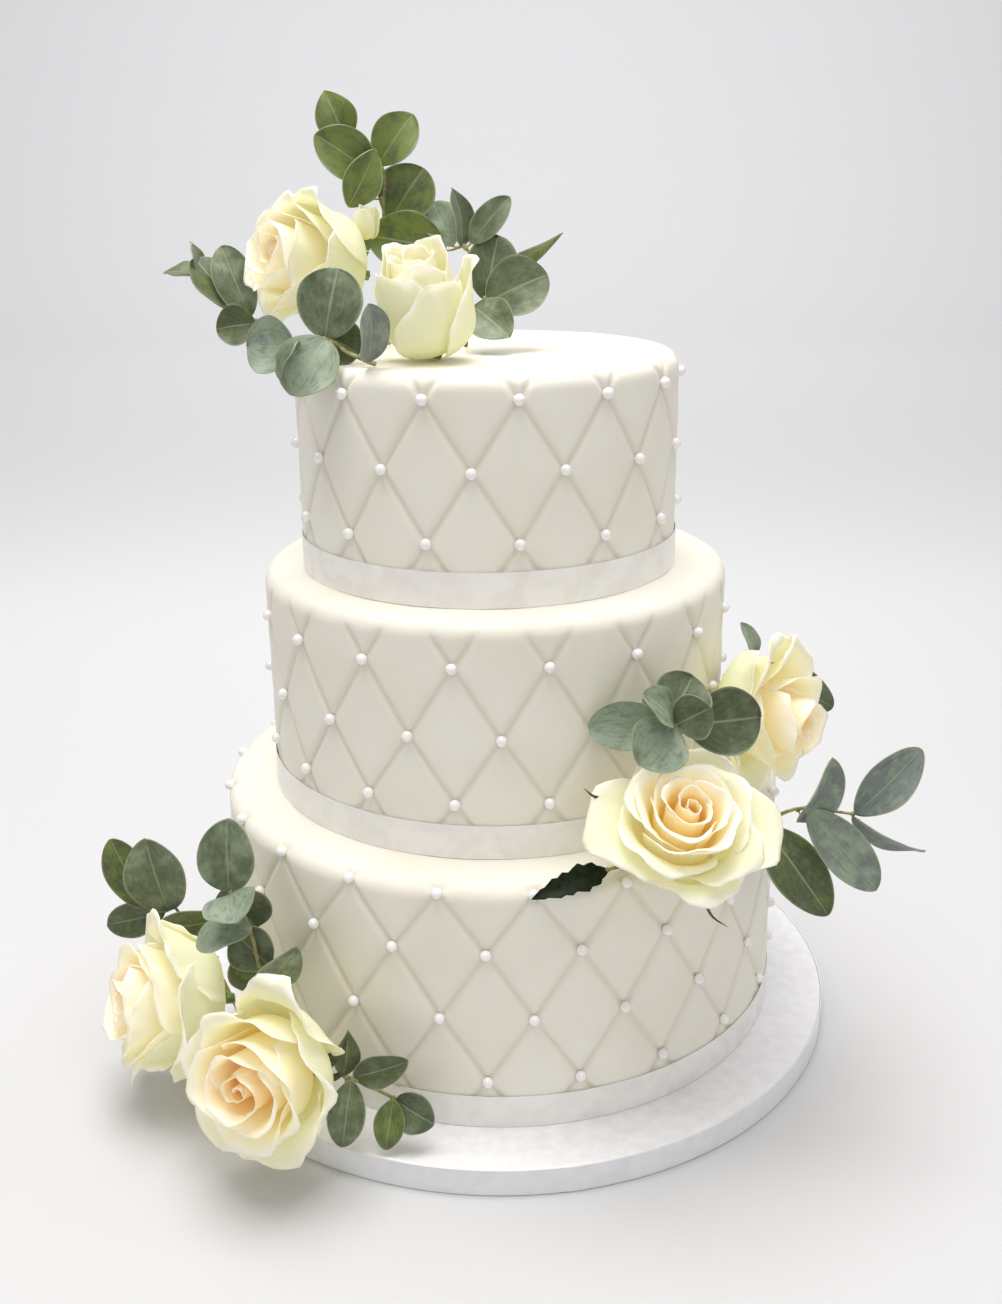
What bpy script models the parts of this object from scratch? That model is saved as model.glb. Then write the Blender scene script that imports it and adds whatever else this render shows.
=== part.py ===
"""Three-tier quilted fondant cake with pearls, satin ribbons, roses and eucalyptus.

The cake is modelled as it is made: a round board with a ribbon on its edge, three stacked
tiers quilted in diamonds with a sugar pearl pressed in at every crossing, a satin ribbon round
each tier's foot, and three sprays of fresh roses and eucalyptus on the cake top, on the
bottom tier's ledge and on the board.

Metres, +Z up, origin at the centre of the board's underside. The front is towards -Y.
"""

import math
from dataclasses import dataclass

import bmesh
import bpy
from mathutils import Matrix, Vector

MM = 0.001
GAP = 0.3 * MM  # clearance between pieces that touch

# Board
BOARD_RADIUS = 160.0 * MM
BOARD_THICKNESS = 12.5 * MM
BOARD_SEGMENTS = 44
EDGE_BAND_THICKNESS = 0.6 * MM

# Fondant tiers
RIM_ROUNDING = 7.0 * MM
RIM_STEPS = 2
GROOVE_DEPTH = 1.3 * MM
ROW_STEP = 29.4 * MM  # height between two rows of pearls
PEARL_SEAT = 2.6 * MM  # radius of a pearl where it sinks into the fondant
PEARL_SHOULDER = 0.7 * MM  # how far a pearl narrows up to its crown
PEARL_RISE = 3.6 * MM  # height of its crown over the crossing of the grooves

# Ribbons
RIBBON_WIDTH = 15.0 * MM
RIBBON_THICKNESS = 0.6 * MM
RIBBON_SEGMENTS = 30

# Leaves and stems
LEAF_THICKNESS = 0.8 * MM
LEAF_CUP = 0.14  # how far the margins lift, as a share of the width
LEAF_BEND = 0.07  # how far the midrib bows, as a share of the length
LEAF_SECTIONS = ((0.18, 0.76), (0.5, 1.0), (0.82, 0.70))  # place along the leaf, share of full width
SERRATED_SECTIONS = ((0.2, 0.7), (0.35, 1.0), (0.42, 0.72), (0.6, 0.92), (0.68, 0.6))
STEM_RADIUS = 0.9 * MM
STEM_SIDES = 4
TOWARDS_FRONT = Vector((0.0, -0.94, 0.33))  # where most leaf faces look

# Roses
ROSE_STEM_RADIUS = 2.5 * MM
OUTER_LIP_ROWS = (3, 4)  # rows of the bloom's profile that carry the outer petals' tips
MIDDLE_LIP_ROWS = (6,)

# Colour, roughness and metallic value of each finish
FONDANT = ((0.80, 0.76, 0.67, 1.0), 0.55, 0.0)
SATIN = ((0.83, 0.82, 0.78, 1.0), 0.35, 0.0)
BOARD_FOIL = ((0.80, 0.79, 0.82, 1.0), 0.40, 0.3)
BAND_WHITE = ((0.88, 0.88, 0.90, 1.0), 0.40, 0.0)
PETAL = ((0.93, 0.87, 0.66, 1.0), 0.60, 0.0)
LEAF_GREY_GREEN = ((0.13, 0.19, 0.13, 1.0), 0.60, 0.0)
LEAF_DARK = ((0.02, 0.05, 0.02, 1.0), 0.50, 0.0)


@dataclass(frozen=True)
class Tier:
    """One quilted tier; the lengths are in millimetres and the angles in degrees."""

    name: str
    radius: float
    centre_x: float
    base: float
    top: float
    columns: int
    first_column: float
    pearl_rows: tuple  # heights above the tier's base

    @property
    def column_step(self):
        return math.radians(360.0 / self.columns)

    def row_height(self, row):
        """Height of a pearl row; rows past the last pearl carry the quilting on."""
        rows = self.pearl_rows
        if row < 0:
            height = rows[0] * MM + row * ROW_STEP
        elif row >= len(rows):
            height = rows[-1] * MM + (row - len(rows) + 1) * ROW_STEP
        else:
            height = rows[row] * MM
        return self.base * MM + height

    def angle(self, half_columns):
        """Angle of a place counted in half columns from the first pearl."""
        return math.radians(self.first_column) + half_columns * self.column_step / 2

    def point(self, radius, angle, height):
        """A point of the tier; angle 0 is the front."""
        x = self.centre_x * MM + radius * math.sin(angle)
        return Vector((x, -radius * math.cos(angle), height))


@dataclass(frozen=True)
class Leaf:
    """One leaf from its stalk's end to its tip, in millimetres; turn is about its length."""

    base: tuple
    tip: tuple
    width: float
    turn: float = 0.0
    sections: tuple = LEAF_SECTIONS


@dataclass(frozen=True)
class Rose:
    """One bloom, in millimetres; openness runs from 0, a cup, to 1, a flat face."""

    name: str
    heart: tuple  # tip of the innermost petals
    axis: tuple  # from the calyx to the heart
    length: float
    radius: float
    openness: float
    stem: float
    lobes: int = 5
    lobe_depth: float = 0.10
    segments: int = 15


@dataclass(frozen=True)
class Sprig:
    """A stem, as points in millimetres from its foot, and the leaves on it."""

    name: str
    stem: tuple
    leaves: tuple
    finish: tuple = LEAF_GREY_GREEN


TIERS = (
    Tier("tier_bottom", 132.0, 0.0, 12.8, 126.0, 21, -3.33, (22.2, 52.0, 83.2, 109.8)),
    Tier("tier_middle", 106.0, -2.2, 126.3, 228.5, 17, -9.5, (24.1, 52.9, 83.6)),
    Tier("tier_top", 85.0, -4.9, 228.8, 322.5, 14, -16.9, (26.3, 55.3, 84.0)),
)

ROSES = (
    Rose("rose_top_left", (-100, -26, 368), (-0.77, -0.58, 0.25), 50, 32, 0.6, 6.0),
    Rose("rose_top_right", (-33, -51, 369), (-0.12, -0.38, 0.92), 48, 23, 0.0, 1.0, 3, 0.05),
    Rose("rose_middle_front", (74, -137, 167), (0.07, -0.58, 0.82), 38, 41, 1.0, 4.0, 5, 0.07),
    Rose("rose_middle_back", (138, -68, 168), (0.82, -0.57, -0.02), 48, 37, 0.75, 1.0),
    Rose("rose_lower_left", (-170, -100, 57), (-0.86, -0.43, 0.28), 50, 38, 0.6, 6.0),
    Rose("rose_lower_front", (-109, -170, 55), (-0.42, -0.89, 0.15), 46, 42, 0.8, 6.0),
    Rose("rose_bud", (-54, -3, 384), (0.15, -0.1, 0.98), 15, 6.5, 0.0, 4.0, 3, 0.05, 6),
)

SPRIGS = (
    Sprig(
        "eucalyptus_top_upright",
        ((-49, 12, 323.4), (-48, 13, 360), (-49, 13, 379), (-50, 9, 402), (-62, 14, 410)),
        (
            Leaf((-62, 14, 409), (-72, 18, 430), 18),
            Leaf((-53, 8, 400), (-76, 2, 415), 20),
            Leaf((-50, 10, 402), (-34, 14, 422), 19),
            Leaf((-50, 5, 402), (-62, -1, 382), 18, 38),
            Leaf((-49, 13, 379), (-40, 17, 401), 24),
        ),
    ),
    Sprig(
        "eucalyptus_top_right",
        ((-14, 0, 323.4), (-12, 0, 335), (-5, -5, 343), (-6, 2, 356), (-14, 4, 366)),
        (
            Leaf((-19, 6, 366), (-28, 16, 384), 15),
            Leaf((-15, 4, 366), (-19, 8, 390), 17, 54),
            Leaf((-11, 4, 367), (6, 8, 386), 13),
            Leaf((-5, -3, 344), (0, 9, 368), 20),
            Leaf((-3, 3, 356), (29, 4, 370), 14, 65),
            Leaf((-4, -6, 343), (22, -4, 352), 25),
            Leaf((-10, -5, 341), (5, -24, 330), 19),
            Leaf((-20, 8, 364), (-53, 6, 371), 26, -10),
        ),
    ),
    Sprig(
        "eucalyptus_top_left",
        ((-80, 1, 323.4), (-96, 2, 328), (-105, -4, 336), (-119, 0, 343), (-131, 3, 356)),
        (
            Leaf((-110, -2, 338), (-121, 7, 366), 16),
            Leaf((-119, 0, 343), (-134, 6, 361), 20, 40),
            Leaf((-131, 3, 356), (-133, 6, 369), 12, 75),
            Leaf((-131, 2, 355), (-146, 6, 356), 14, 50),
            Leaf((-105, -6, 335), (-122, -7, 333), 17),
        ),
    ),
    Sprig(
        "eucalyptus_top_front",
        ((-49, -59, 323.8), (-60, -55, 328), (-70, -51, 333), (-82, -53, 330)),
        (
            Leaf((-70, -50, 333), (-64, -42, 360), 26),
            Leaf((-71, -52, 333), (-85, -65, 313), 23),
            Leaf((-82, -53, 330), (-102, -47, 330), 22),
            Leaf((-80, -55, 333), (-88, -59, 320), 16, 70),
            Leaf((-52, -62, 325), (-50, -66, 348), 18, 55),
            Leaf((-68, -46, 332), (-59, -44, 326), 10),
        ),
    ),
    Sprig(
        "eucalyptus_middle_cluster",
        ((76, -79, 150), (74, -90, 176), (68, -112, 189)),
        (
            Leaf((65, -108, 187), (35, -104, 183), 20),
            Leaf((68, -113, 188), (54, -125, 177), 24),
            Leaf((68, -114, 189), (55, -117, 203), 18, 56),
            Leaf((69, -111, 189), (78, -100, 204), 18),
            Leaf((68, -107, 189), (62, -99, 199), 12),
            Leaf((69, -114, 189), (81, -117, 197), 17),
            Leaf((74, -103, 184), (105, -95, 184), 27),
        ),
    ),
    Sprig(
        "eucalyptus_middle_right",
        ((108, -70, 126.8), (115, -84, 133), (126, -98, 144), (138, -95, 141), (148, -92, 138)),
        (
            Leaf((124, -100, 141), (133, -99, 165), 17, 40),
            Leaf((127, -99, 144), (157, -105, 109), 19),
            Leaf((149, -92, 138), (177, -84, 164), 19),
            Leaf((148, -92, 137), (181, -90, 119), 16, 72),
            Leaf((114, -90, 131), (136, -110, 100), 21),
        ),
    ),
    Sprig(
        "eucalyptus_middle_behind",
        ((112, 8, 126.8), (116, 2, 160), (122, -4, 176)),
        (
            Leaf((120, -2, 175), (113, -4, 195), 14, 50),
            Leaf((122, -4, 176), (158, -8, 153), 18),
        ),
    ),
    Sprig(
        "rose_leaf_serrated",
        ((52, -114, 127.6), (42, -122, 129)),
        (Leaf((42, -122, 129), (11, -138, 125), 13, 20, SERRATED_SECTIONS),),
        LEAF_DARK,
    ),
    Sprig(
        "eucalyptus_lower_left",
        ((-130, -44, 13.3), (-142, -44, 45), (-156, -47, 74)),
        (
            Leaf((-164, -46, 72), (-181, -42, 105), 20),
            Leaf((-157, -49, 71), (-165, -48, 108), 28),
            Leaf((-160, -47, 69), (-189, -42, 60), 17),
            Leaf((-157, -49, 66), (-131, -58, 74), 18, 20),
        ),
    ),
    Sprig(
        "eucalyptus_lower_upright",
        ((-99, -99, 13.3), (-104, -104, 50), (-103, -117, 83), (-107, -114, 102), (-114, -108, 113)),
        (
            Leaf((-115, -107, 114), (-114, -104, 145), 24),
            Leaf((-113, -105, 112), (-104, -99, 98), 22),
            Leaf((-113, -111, 114), (-109, -128, 110), 23),
            Leaf((-105, -116, 102), (-127, -122, 96), 18, 50),
            Leaf((-103, -117, 84), (-115, -113, 95), 18),
            Leaf((-102, -119, 82), (-84, -126, 96), 16, 35),
        ),
    ),
    Sprig(
        "eucalyptus_lower_right",
        ((-69, -120, 13.3), (-68, -124, 30), (-64, -138, 42), (-55, -139, 38), (-47, -139, 33)),
        (
            Leaf((-65, -135, 41), (-70, -127, 53), 12, 30),
            Leaf((-63, -138, 42), (-40, -142, 51), 14),
            Leaf((-64, -139, 42), (-68, -148, 16), 17),
            Leaf((-47, -140, 33), (-50, -150, 16), 14),
            Leaf((-46, -139, 32), (-30, -147, 26), 17),
        ),
    ),
)


def clear_scene():
    """Remove every object of the open scene."""
    for thing in list(bpy.data.objects):
        bpy.data.objects.remove(thing, do_unlink=True)


def make_material(name, finish):
    """A Principled material of one colour, roughness and metallic value."""
    colour, roughness, metallic = finish
    material = bpy.data.materials.new(name)
    material.use_nodes = True
    shader = material.node_tree.nodes["Principled BSDF"]
    shader.inputs["Base Color"].default_value = colour
    shader.inputs["Roughness"].default_value = roughness
    shader.inputs["Metallic"].default_value = metallic
    return material


def make_object(name, bm, finish):
    """Turn a bmesh into a named object of the scene, shaded smooth up to 40 degrees."""
    mesh = bpy.data.meshes.new(name)
    bm.to_mesh(mesh)
    bm.free()
    mesh.shade_smooth()
    mesh.set_sharp_from_angle(angle=math.radians(40))
    thing = bpy.data.objects.new(name, mesh)
    thing.data.materials.append(make_material(name, finish))
    bpy.context.scene.collection.objects.link(thing)
    return thing


def unite(body, pieces):
    """Join the pieces to the body by one Boolean union, and remove them."""
    group = bpy.data.collections.new(body.name + "_pieces")
    bpy.context.scene.collection.children.link(group)
    for piece in pieces:
        bpy.context.scene.collection.objects.unlink(piece)
        group.objects.link(piece)
    union = body.modifiers.new("union", "BOOLEAN")
    union.operation = "UNION"
    union.solver = "MANIFOLD"
    union.operand_type = "COLLECTION"
    union.collection = group
    bpy.context.view_layer.objects.active = body
    bpy.ops.object.modifier_apply(modifier=union.name)
    for piece in pieces:
        bpy.data.objects.remove(piece, do_unlink=True)
    bpy.data.collections.remove(group)
    body.data.shade_smooth()
    body.data.set_sharp_from_angle(angle=math.radians(40))


def skin_rings(bm, rings, closed=False):
    """Join rings of the same number of vertices; the ends are capped unless closed."""
    count = len(rings[0])
    pairs = list(zip(rings, rings[1:]))
    if closed:
        pairs.append((rings[-1], rings[0]))
    for low, high in pairs:
        for i in range(count):
            j = (i + 1) % count
            bm.faces.new((low[i], low[j], high[j], high[i]))
    if not closed:
        bm.faces.new(reversed(rings[0]))
        bm.faces.new(rings[-1])


def round_ring(bm, radius, height, segments, centre_x=0.0):
    """A ring of vertices round an upright axis."""
    ring = []
    for i in range(segments):
        turn = 2 * math.pi * i / segments
        x = centre_x + radius * math.cos(turn)
        ring.append(bm.verts.new((x, radius * math.sin(turn), height)))
    return ring


def make_board():
    """The round board that the cake is built on."""
    bm = bmesh.new()
    radius = BOARD_RADIUS - EDGE_BAND_THICKNESS - GAP
    rings = [round_ring(bm, radius, z, BOARD_SEGMENTS) for z in (0.0, BOARD_THICKNESS)]
    skin_rings(bm, rings)
    return make_object("board", bm, BOARD_FOIL)


def make_hoop(name, inner, outer, low, high, segments, centre_x, finish):
    """A flat band bent into a hoop, such as a ribbon."""
    bm = bmesh.new()
    corners = ((inner, low), (outer, low), (outer, high), (inner, high))
    rings = [round_ring(bm, r, z, segments, centre_x) for r, z in corners]
    skin_rings(bm, rings, closed=True)
    return make_object(name, bm, finish)


def make_board_band():
    """The ribbon glued round the board's edge."""
    inner = BOARD_RADIUS - EDGE_BAND_THICKNESS
    return make_hoop("board_edge_ribbon", inner, BOARD_RADIUS, GAP, BOARD_THICKNESS,
                     BOARD_SEGMENTS, 0.0, BAND_WHITE)


def make_ribbon(tier):
    """The satin ribbon round a tier's foot, wide enough to clear the tier all round."""
    corner_share = 1 / math.cos(math.pi / RIBBON_SEGMENTS)
    inner = (tier.radius * MM + GAP) * corner_share
    low = tier.base * MM + GAP
    high = tier.base * MM + RIBBON_WIDTH
    name = tier.name.replace("tier", "ribbon")
    return make_hoop(name, inner, inner + RIBBON_THICKNESS, low, high,
                     RIBBON_SEGMENTS, tier.centre_x * MM, SATIN)


def add_diamond(bm, tier, corner, row, half_column):
    """One padded diamond: four facets that rise from its grooves to its middle."""
    places = ((row, half_column), (row + 1, half_column + 1), (row + 2, half_column),
              (row + 1, half_column - 1))
    outer = [corner(*place) for place in places]
    height = (tier.row_height(row) + tier.row_height(row + 2)) / 2
    middle = bm.verts.new(tier.point(tier.radius * MM, tier.angle(half_column), height))
    for i in range(4):
        bm.faces.new((outer[i], outer[(i + 1) % 4], middle))


def cut_level(bm, height, keep_above):
    """Cut the wall level and drop what lies past the cut."""
    geometry = bm.verts[:] + bm.edges[:] + bm.faces[:]
    bmesh.ops.bisect_plane(
        bm, geom=geometry, dist=1e-7, plane_co=(0, 0, height), plane_no=(0, 0, 1),
        clear_inner=keep_above, clear_outer=not keep_above)
    edges = []
    for edge in bm.edges:
        level = all(abs(v.co.z - height) < 1e-6 for v in edge.verts)
        if level and edge.is_boundary:
            edges.append(edge)
    return edges


def rounded_radius(tier, height):
    """Radius of the tier's surface at a height, on the wall or on the rounded rim."""
    rise = (height - (tier.top * MM - RIM_ROUNDING)) / RIM_ROUNDING
    slope = math.asin(min(1.0, max(0.0, rise)))
    return tier.radius * MM - RIM_ROUNDING * (1 - math.cos(slope))


def add_quilting(bm, tier):
    """The lattice of padded diamonds; returns the vertices at the pearls."""
    corners = {}

    def corner(row, half_column):
        key = (row, half_column % (2 * tier.columns))
        if key not in corners:
            height = tier.row_height(row)
            on_tier = 0 <= row < len(tier.pearl_rows)
            radius = rounded_radius(tier, height) if on_tier else tier.radius * MM
            place = tier.point(radius - GROOVE_DEPTH, tier.angle(half_column), height)
            corners[key] = bm.verts.new(place)
        return corners[key]

    for row in range(-2, len(tier.pearl_rows)):
        for column in range(tier.columns):
            add_diamond(bm, tier, corner, row, 2 * column + row % 2)
    rows = range(len(tier.pearl_rows))
    return [vert for (row, _), vert in corners.items() if row in rows]


def close_rim(bm, tier, rim, cut_height):
    """Carry the wall over the rounded rim and close the flat top."""
    rim_start = tier.top * MM - RIM_ROUNDING
    first_slope = math.asin((cut_height - rim_start) / RIM_ROUNDING)
    for step in range(1, RIM_STEPS + 1):
        slope = first_slope + (math.pi / 2 - first_slope) * step / RIM_STEPS
        height = rim_start + RIM_ROUNDING * math.sin(slope)
        radius = tier.radius * MM - RIM_ROUNDING * (1 - math.cos(slope))
        ring = []
        for i in range(2 * tier.columns):
            ring.append(bm.verts.new(tier.point(radius, tier.angle(i), height)))
        edges = [bm.edges.new((a, b)) for a, b in zip(ring, ring[1:] + ring[:1])]
        bmesh.ops.bridge_loops(bm, edges=rim + edges)
        rim = edges
    bm.faces.new(ring)


def make_tier(tier):
    """The quilted wall, rounded rim and flat top, with a pearl raised at each crossing."""
    bm = bmesh.new()
    crossings = add_quilting(bm, tier)
    seats = bmesh.ops.bevel(
        bm, geom=crossings, offset=PEARL_SEAT, offset_type="ABSOLUTE", segments=1,
        affect="VERTICES", clamp_overlap=False)["faces"]
    foot = cut_level(bm, tier.base * MM, keep_above=True)
    bmesh.ops.contextual_create(bm, geom=foot)
    rim_start = tier.top * MM - RIM_ROUNDING
    last_row = tier.row_height(len(tier.pearl_rows) - 1)
    cut_height = max(rim_start, last_row + PEARL_SEAT + GAP)
    rim = cut_level(bm, cut_height, keep_above=False)
    close_rim(bm, tier, rim, cut_height)
    bmesh.ops.recalc_face_normals(bm, faces=bm.faces[:])
    bmesh.ops.inset_individual(
        bm, faces=seats, thickness=PEARL_SHOULDER, depth=PEARL_RISE, use_even_offset=True)
    return make_object(tier.name, bm, FONDANT)


def axes_about(direction, hint):
    """Two unit vectors square to a direction; the second is as near the hint as can be."""
    along = Vector(direction).normalized()
    side = along.cross(Vector(hint))
    side.normalize()
    face = side.cross(along)
    return along, side, face


def rose_profile(openness):
    """Radius and height shares up the outside, over each petal lip and into the heart."""
    cup = ((0.26, 0.03), (0.84, 0.26), (1.00, 0.52), (0.97, 0.78), (0.86, 0.82), (0.70, 0.68),
           (0.66, 0.94), (0.44, 0.80), (0.36, 1.00), (0.18, 0.86), (0.10, 1.00))
    face = ((0.24, 0.02), (0.62, 0.14), (0.86, 0.36), (1.00, 0.56), (0.92, 0.68), (0.66, 0.54),
            (0.70, 0.84), (0.46, 0.68), (0.42, 0.98), (0.20, 0.80), (0.10, 0.98))
    rows = []
    for (cup_r, cup_z), (face_r, face_z) in zip(cup, face):
        radius = cup_r + (face_r - cup_r) * openness
        height = cup_z + (face_z - cup_z) * openness
        rows.append((radius, height))
    return rows


def make_rose(rose):
    """A bloom as one folded solid: calyx, cup wall and three rings of petal lips."""
    along, side, face = axes_about(rose.axis, (0, 0, 1) if abs(rose.axis[2]) < 0.9 else (0, -1, 0))
    length = rose.length * MM
    base = Vector(rose.heart) * MM - along * length
    bm = bmesh.new()

    def ring(radius_share, height_share, row):
        verts = []
        for i in range(rose.segments):
            turn = 2 * math.pi * i / rose.segments
            lobe = 0.0
            if row in OUTER_LIP_ROWS:
                lobe = rose.lobe_depth * math.cos(rose.lobes * turn)
            if row in MIDDLE_LIP_ROWS:
                lobe = rose.lobe_depth * math.cos((rose.lobes - 1) * turn + 1.0)
            radius = rose.radius * MM * radius_share * (1 - rose.lobe_depth + lobe)
            height = length * (height_share + 0.4 * lobe)
            outward = side * math.cos(turn) + face * math.sin(turn)
            verts.append(bm.verts.new(base + along * height + outward * radius))
        return verts

    rings = []
    if rose.stem:
        share = ROSE_STEM_RADIUS / (rose.radius * MM)
        rings.append(ring(share, -rose.stem / rose.length, -1))
        rings.append(ring(share, -0.02, -1))
    for row, (radius_share, height_share) in enumerate(rose_profile(rose.openness)):
        rings.append(ring(radius_share, height_share, row))
    skin_rings(bm, rings)
    bmesh.ops.recalc_face_normals(bm, faces=bm.faces[:])
    return make_object(rose.name, bm, PETAL)


def make_tube(name, points, radius, sides, finish):
    """A stalk through the points, with a flat cap at each end."""
    bm = bmesh.new()
    rings = []
    for i, point in enumerate(points):
        ahead = points[min(i + 1, len(points) - 1)] - points[max(i - 1, 0)]
        _, side, face = axes_about(ahead, (0.31, 0.84, 0.44))
        ring = []
        for k in range(sides):
            turn = 2 * math.pi * k / sides
            outward = side * math.cos(turn) + face * math.sin(turn)
            ring.append(bm.verts.new(point + outward * radius))
        rings.append(ring)
    skin_rings(bm, rings)
    bmesh.ops.recalc_face_normals(bm, faces=bm.faces[:])
    return make_object(name, bm, finish)


def leaf_axes(leaf):
    """The leaf's length, and unit vectors along it, across it and out of its face."""
    run = (Vector(leaf.tip) - Vector(leaf.base)) * MM
    along, side, face = axes_about(run, TOWARDS_FRONT)
    turned = Matrix.Rotation(math.radians(leaf.turn), 3, along)
    return run.length, along, turned @ side, turned @ face


def leaf_spine(leaf, share):
    """The point of the bowed midrib at a share of the leaf's length."""
    length, along, _, face = leaf_axes(leaf)
    bow = face * (LEAF_BEND * length * math.sin(math.pi * share))
    return Vector(leaf.base) * MM + along * (length * share) + bow


def make_leaf(name, leaf, start, finish):
    """A thin cupped leaf on its stalk; both faces share the margin and are split alike."""
    _, _, side, face = leaf_axes(leaf)
    half_thickness = LEAF_THICKNESS / 2
    bm = bmesh.new()
    first = bm.verts.new(start)
    last = bm.verts.new(Vector(leaf.tip) * MM)
    rows = []
    for share, width_share in leaf.sections:
        spine = leaf_spine(leaf, share)
        half_width = leaf.width * MM * width_share / 2
        lift = face * (LEAF_CUP * half_width * 2)
        left = bm.verts.new(spine - side * half_width + lift)
        right = bm.verts.new(spine + side * half_width + lift)
        upper = bm.verts.new(spine + face * half_thickness)
        lower = bm.verts.new(spine - face * half_thickness)
        rows.append((left, upper, right, lower))
    for i in range(4):
        j = (i + 1) % 4
        bm.faces.new((first, rows[0][i], rows[0][j]))
        bm.faces.new((last, rows[-1][j], rows[-1][i]))
        for near, far in zip(rows, rows[1:]):
            if i % 2:
                bm.faces.new((near[i], far[i], near[j]))
                bm.faces.new((near[j], far[i], far[j]))
            else:
                bm.faces.new((near[i], far[j], near[j]))
                bm.faces.new((near[i], far[i], far[j]))
    bmesh.ops.recalc_face_normals(bm, faces=bm.faces[:])
    return make_object(name, bm, finish)


def nearest_on_route(route, place):
    """The point of a stem's route that is nearest a place."""
    best = None
    for start, end in zip(route, route[1:]):
        run = end - start
        share = (place - start).dot(run) / run.length_squared
        point = start + run * min(1.0, max(0.0, share))
        if best is None or (point - place).length < (best - place).length:
            best = point
    return best


def make_sprig(sprig):
    """A stem with its leaves, each from a point inside the stem, as one solid."""
    route = [Vector(point) * MM for point in sprig.stem]
    past_end = route[-1] + (route[-1] - route[-2]).normalized() * STEM_RADIUS
    stem = route[:-1] + [past_end]
    body = make_tube(sprig.name, stem, STEM_RADIUS, STEM_SIDES, sprig.finish)
    pieces = []
    for leaf in sprig.leaves:
        start = nearest_on_route(route, Vector(leaf.base) * MM)
        pieces.append(make_leaf(sprig.name + "_leaf", leaf, start, sprig.finish))
    unite(body, pieces)
    return body


def main():
    """Build every piece of the cake."""
    clear_scene()
    make_board()
    make_board_band()
    for tier in TIERS:
        make_tier(tier)
        make_ribbon(tier)
    for rose in ROSES:
        make_rose(rose)
    for sprig in SPRIGS:
        make_sprig(sprig)


main()
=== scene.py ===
"""Looks of the three-tier quilted fondant cake with pearls, satin ribbons, roses and eucalyptus.

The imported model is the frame: metres, +Z up, the front towards -Y. Every piece here stands for
a node of that model and keeps its place and form.
"""

import logging
import math
import random
from dataclasses import dataclass
from enum import Enum

import bpy
import numpy as np
from mathutils import Matrix, Vector, noise


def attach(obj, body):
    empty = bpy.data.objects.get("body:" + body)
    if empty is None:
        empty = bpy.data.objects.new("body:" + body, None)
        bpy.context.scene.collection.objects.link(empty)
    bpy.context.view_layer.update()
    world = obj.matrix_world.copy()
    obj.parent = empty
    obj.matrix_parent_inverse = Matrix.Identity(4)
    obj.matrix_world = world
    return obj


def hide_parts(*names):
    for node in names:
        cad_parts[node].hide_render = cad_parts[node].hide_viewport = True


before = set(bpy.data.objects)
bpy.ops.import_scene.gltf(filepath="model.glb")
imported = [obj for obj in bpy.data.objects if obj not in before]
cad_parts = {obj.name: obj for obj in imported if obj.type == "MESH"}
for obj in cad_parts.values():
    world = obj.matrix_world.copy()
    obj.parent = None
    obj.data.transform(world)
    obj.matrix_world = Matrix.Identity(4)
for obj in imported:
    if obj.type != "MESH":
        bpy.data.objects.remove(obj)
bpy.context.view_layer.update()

LOG = logging.getLogger("tiered_cake")
MM = 0.001
LEVEL = 1e-6  # metres; ends closer in height than this are level
BODY = "root"

Point = tuple[float, float, float]
Colour = tuple[float, float, float, float]
Stops = tuple[tuple[float, str], ...]
Socket = bpy.types.NodeSocket


# Small tools for meshes


def deselect_all() -> None:
    """Leave edit mode and clear the selection, because an operator acts on all that is selected."""
    if bpy.context.mode != "OBJECT":
        bpy.ops.object.mode_set(mode="OBJECT")
    bpy.ops.object.select_all(action="DESELECT")


def name_new(name: str) -> bpy.types.Object:
    """Name the primitive that was just added, put its place in its mesh and return it.

    Args:
        name: the new name of the piece and its mesh.

    Returns:
        The piece.
    """
    piece = bpy.context.active_object
    piece.name = name
    piece.data.name = name
    bpy.ops.object.transform_apply(location=True, rotation=True, scale=True)
    return piece


def make_active(piece: bpy.types.Object) -> None:
    """Select one piece alone and make it active.

    Args:
        piece: the mesh to act on.
    """
    deselect_all()
    piece.select_set(True)
    bpy.context.view_layer.objects.active = piece


def read_places(piece: bpy.types.Object) -> np.ndarray:
    """The places of a mesh's vertices as an array of rows.

    Args:
        piece: the mesh to read.

    Returns:
        One row of x, y and z for each vertex, in metres.
    """
    places = np.empty(len(piece.data.vertices) * 3)
    piece.data.vertices.foreach_get("co", places)
    return places.reshape(-1, 3)


def write_places(piece: bpy.types.Object, places: np.ndarray) -> None:
    """Move a mesh's vertices to new places."""
    piece.data.vertices.foreach_set("co", places.astype(np.float32).ravel())
    piece.data.update()


def write_attribute(piece: bpy.types.Object, name: str, values: np.ndarray) -> None:
    """Store one number for each vertex, for the piece's material to read."""
    attribute = piece.data.attributes.new(name, "FLOAT", "POINT")
    attribute.data.foreach_set("value", values.astype(np.float32))


def select_in_edit(piece: bpy.types.Object, mode: str, chosen: np.ndarray) -> None:
    """Enter edit mode with the chosen vertices, edges or faces selected.

    Args:
        piece: the mesh to edit.
        mode: VERT, EDGE or FACE.
        chosen: one truth value for each vertex, edge or face.
    """
    make_active(piece)
    bpy.ops.object.mode_set(mode="EDIT")
    bpy.ops.mesh.select_mode(type=mode)
    bpy.ops.mesh.select_all(action="DESELECT")
    bpy.ops.object.mode_set(mode="OBJECT")
    parts = {"VERT": piece.data.vertices, "EDGE": piece.data.edges, "FACE": piece.data.polygons}
    parts[mode].foreach_set("select", chosen.astype(bool))
    bpy.ops.object.mode_set(mode="EDIT")


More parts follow.
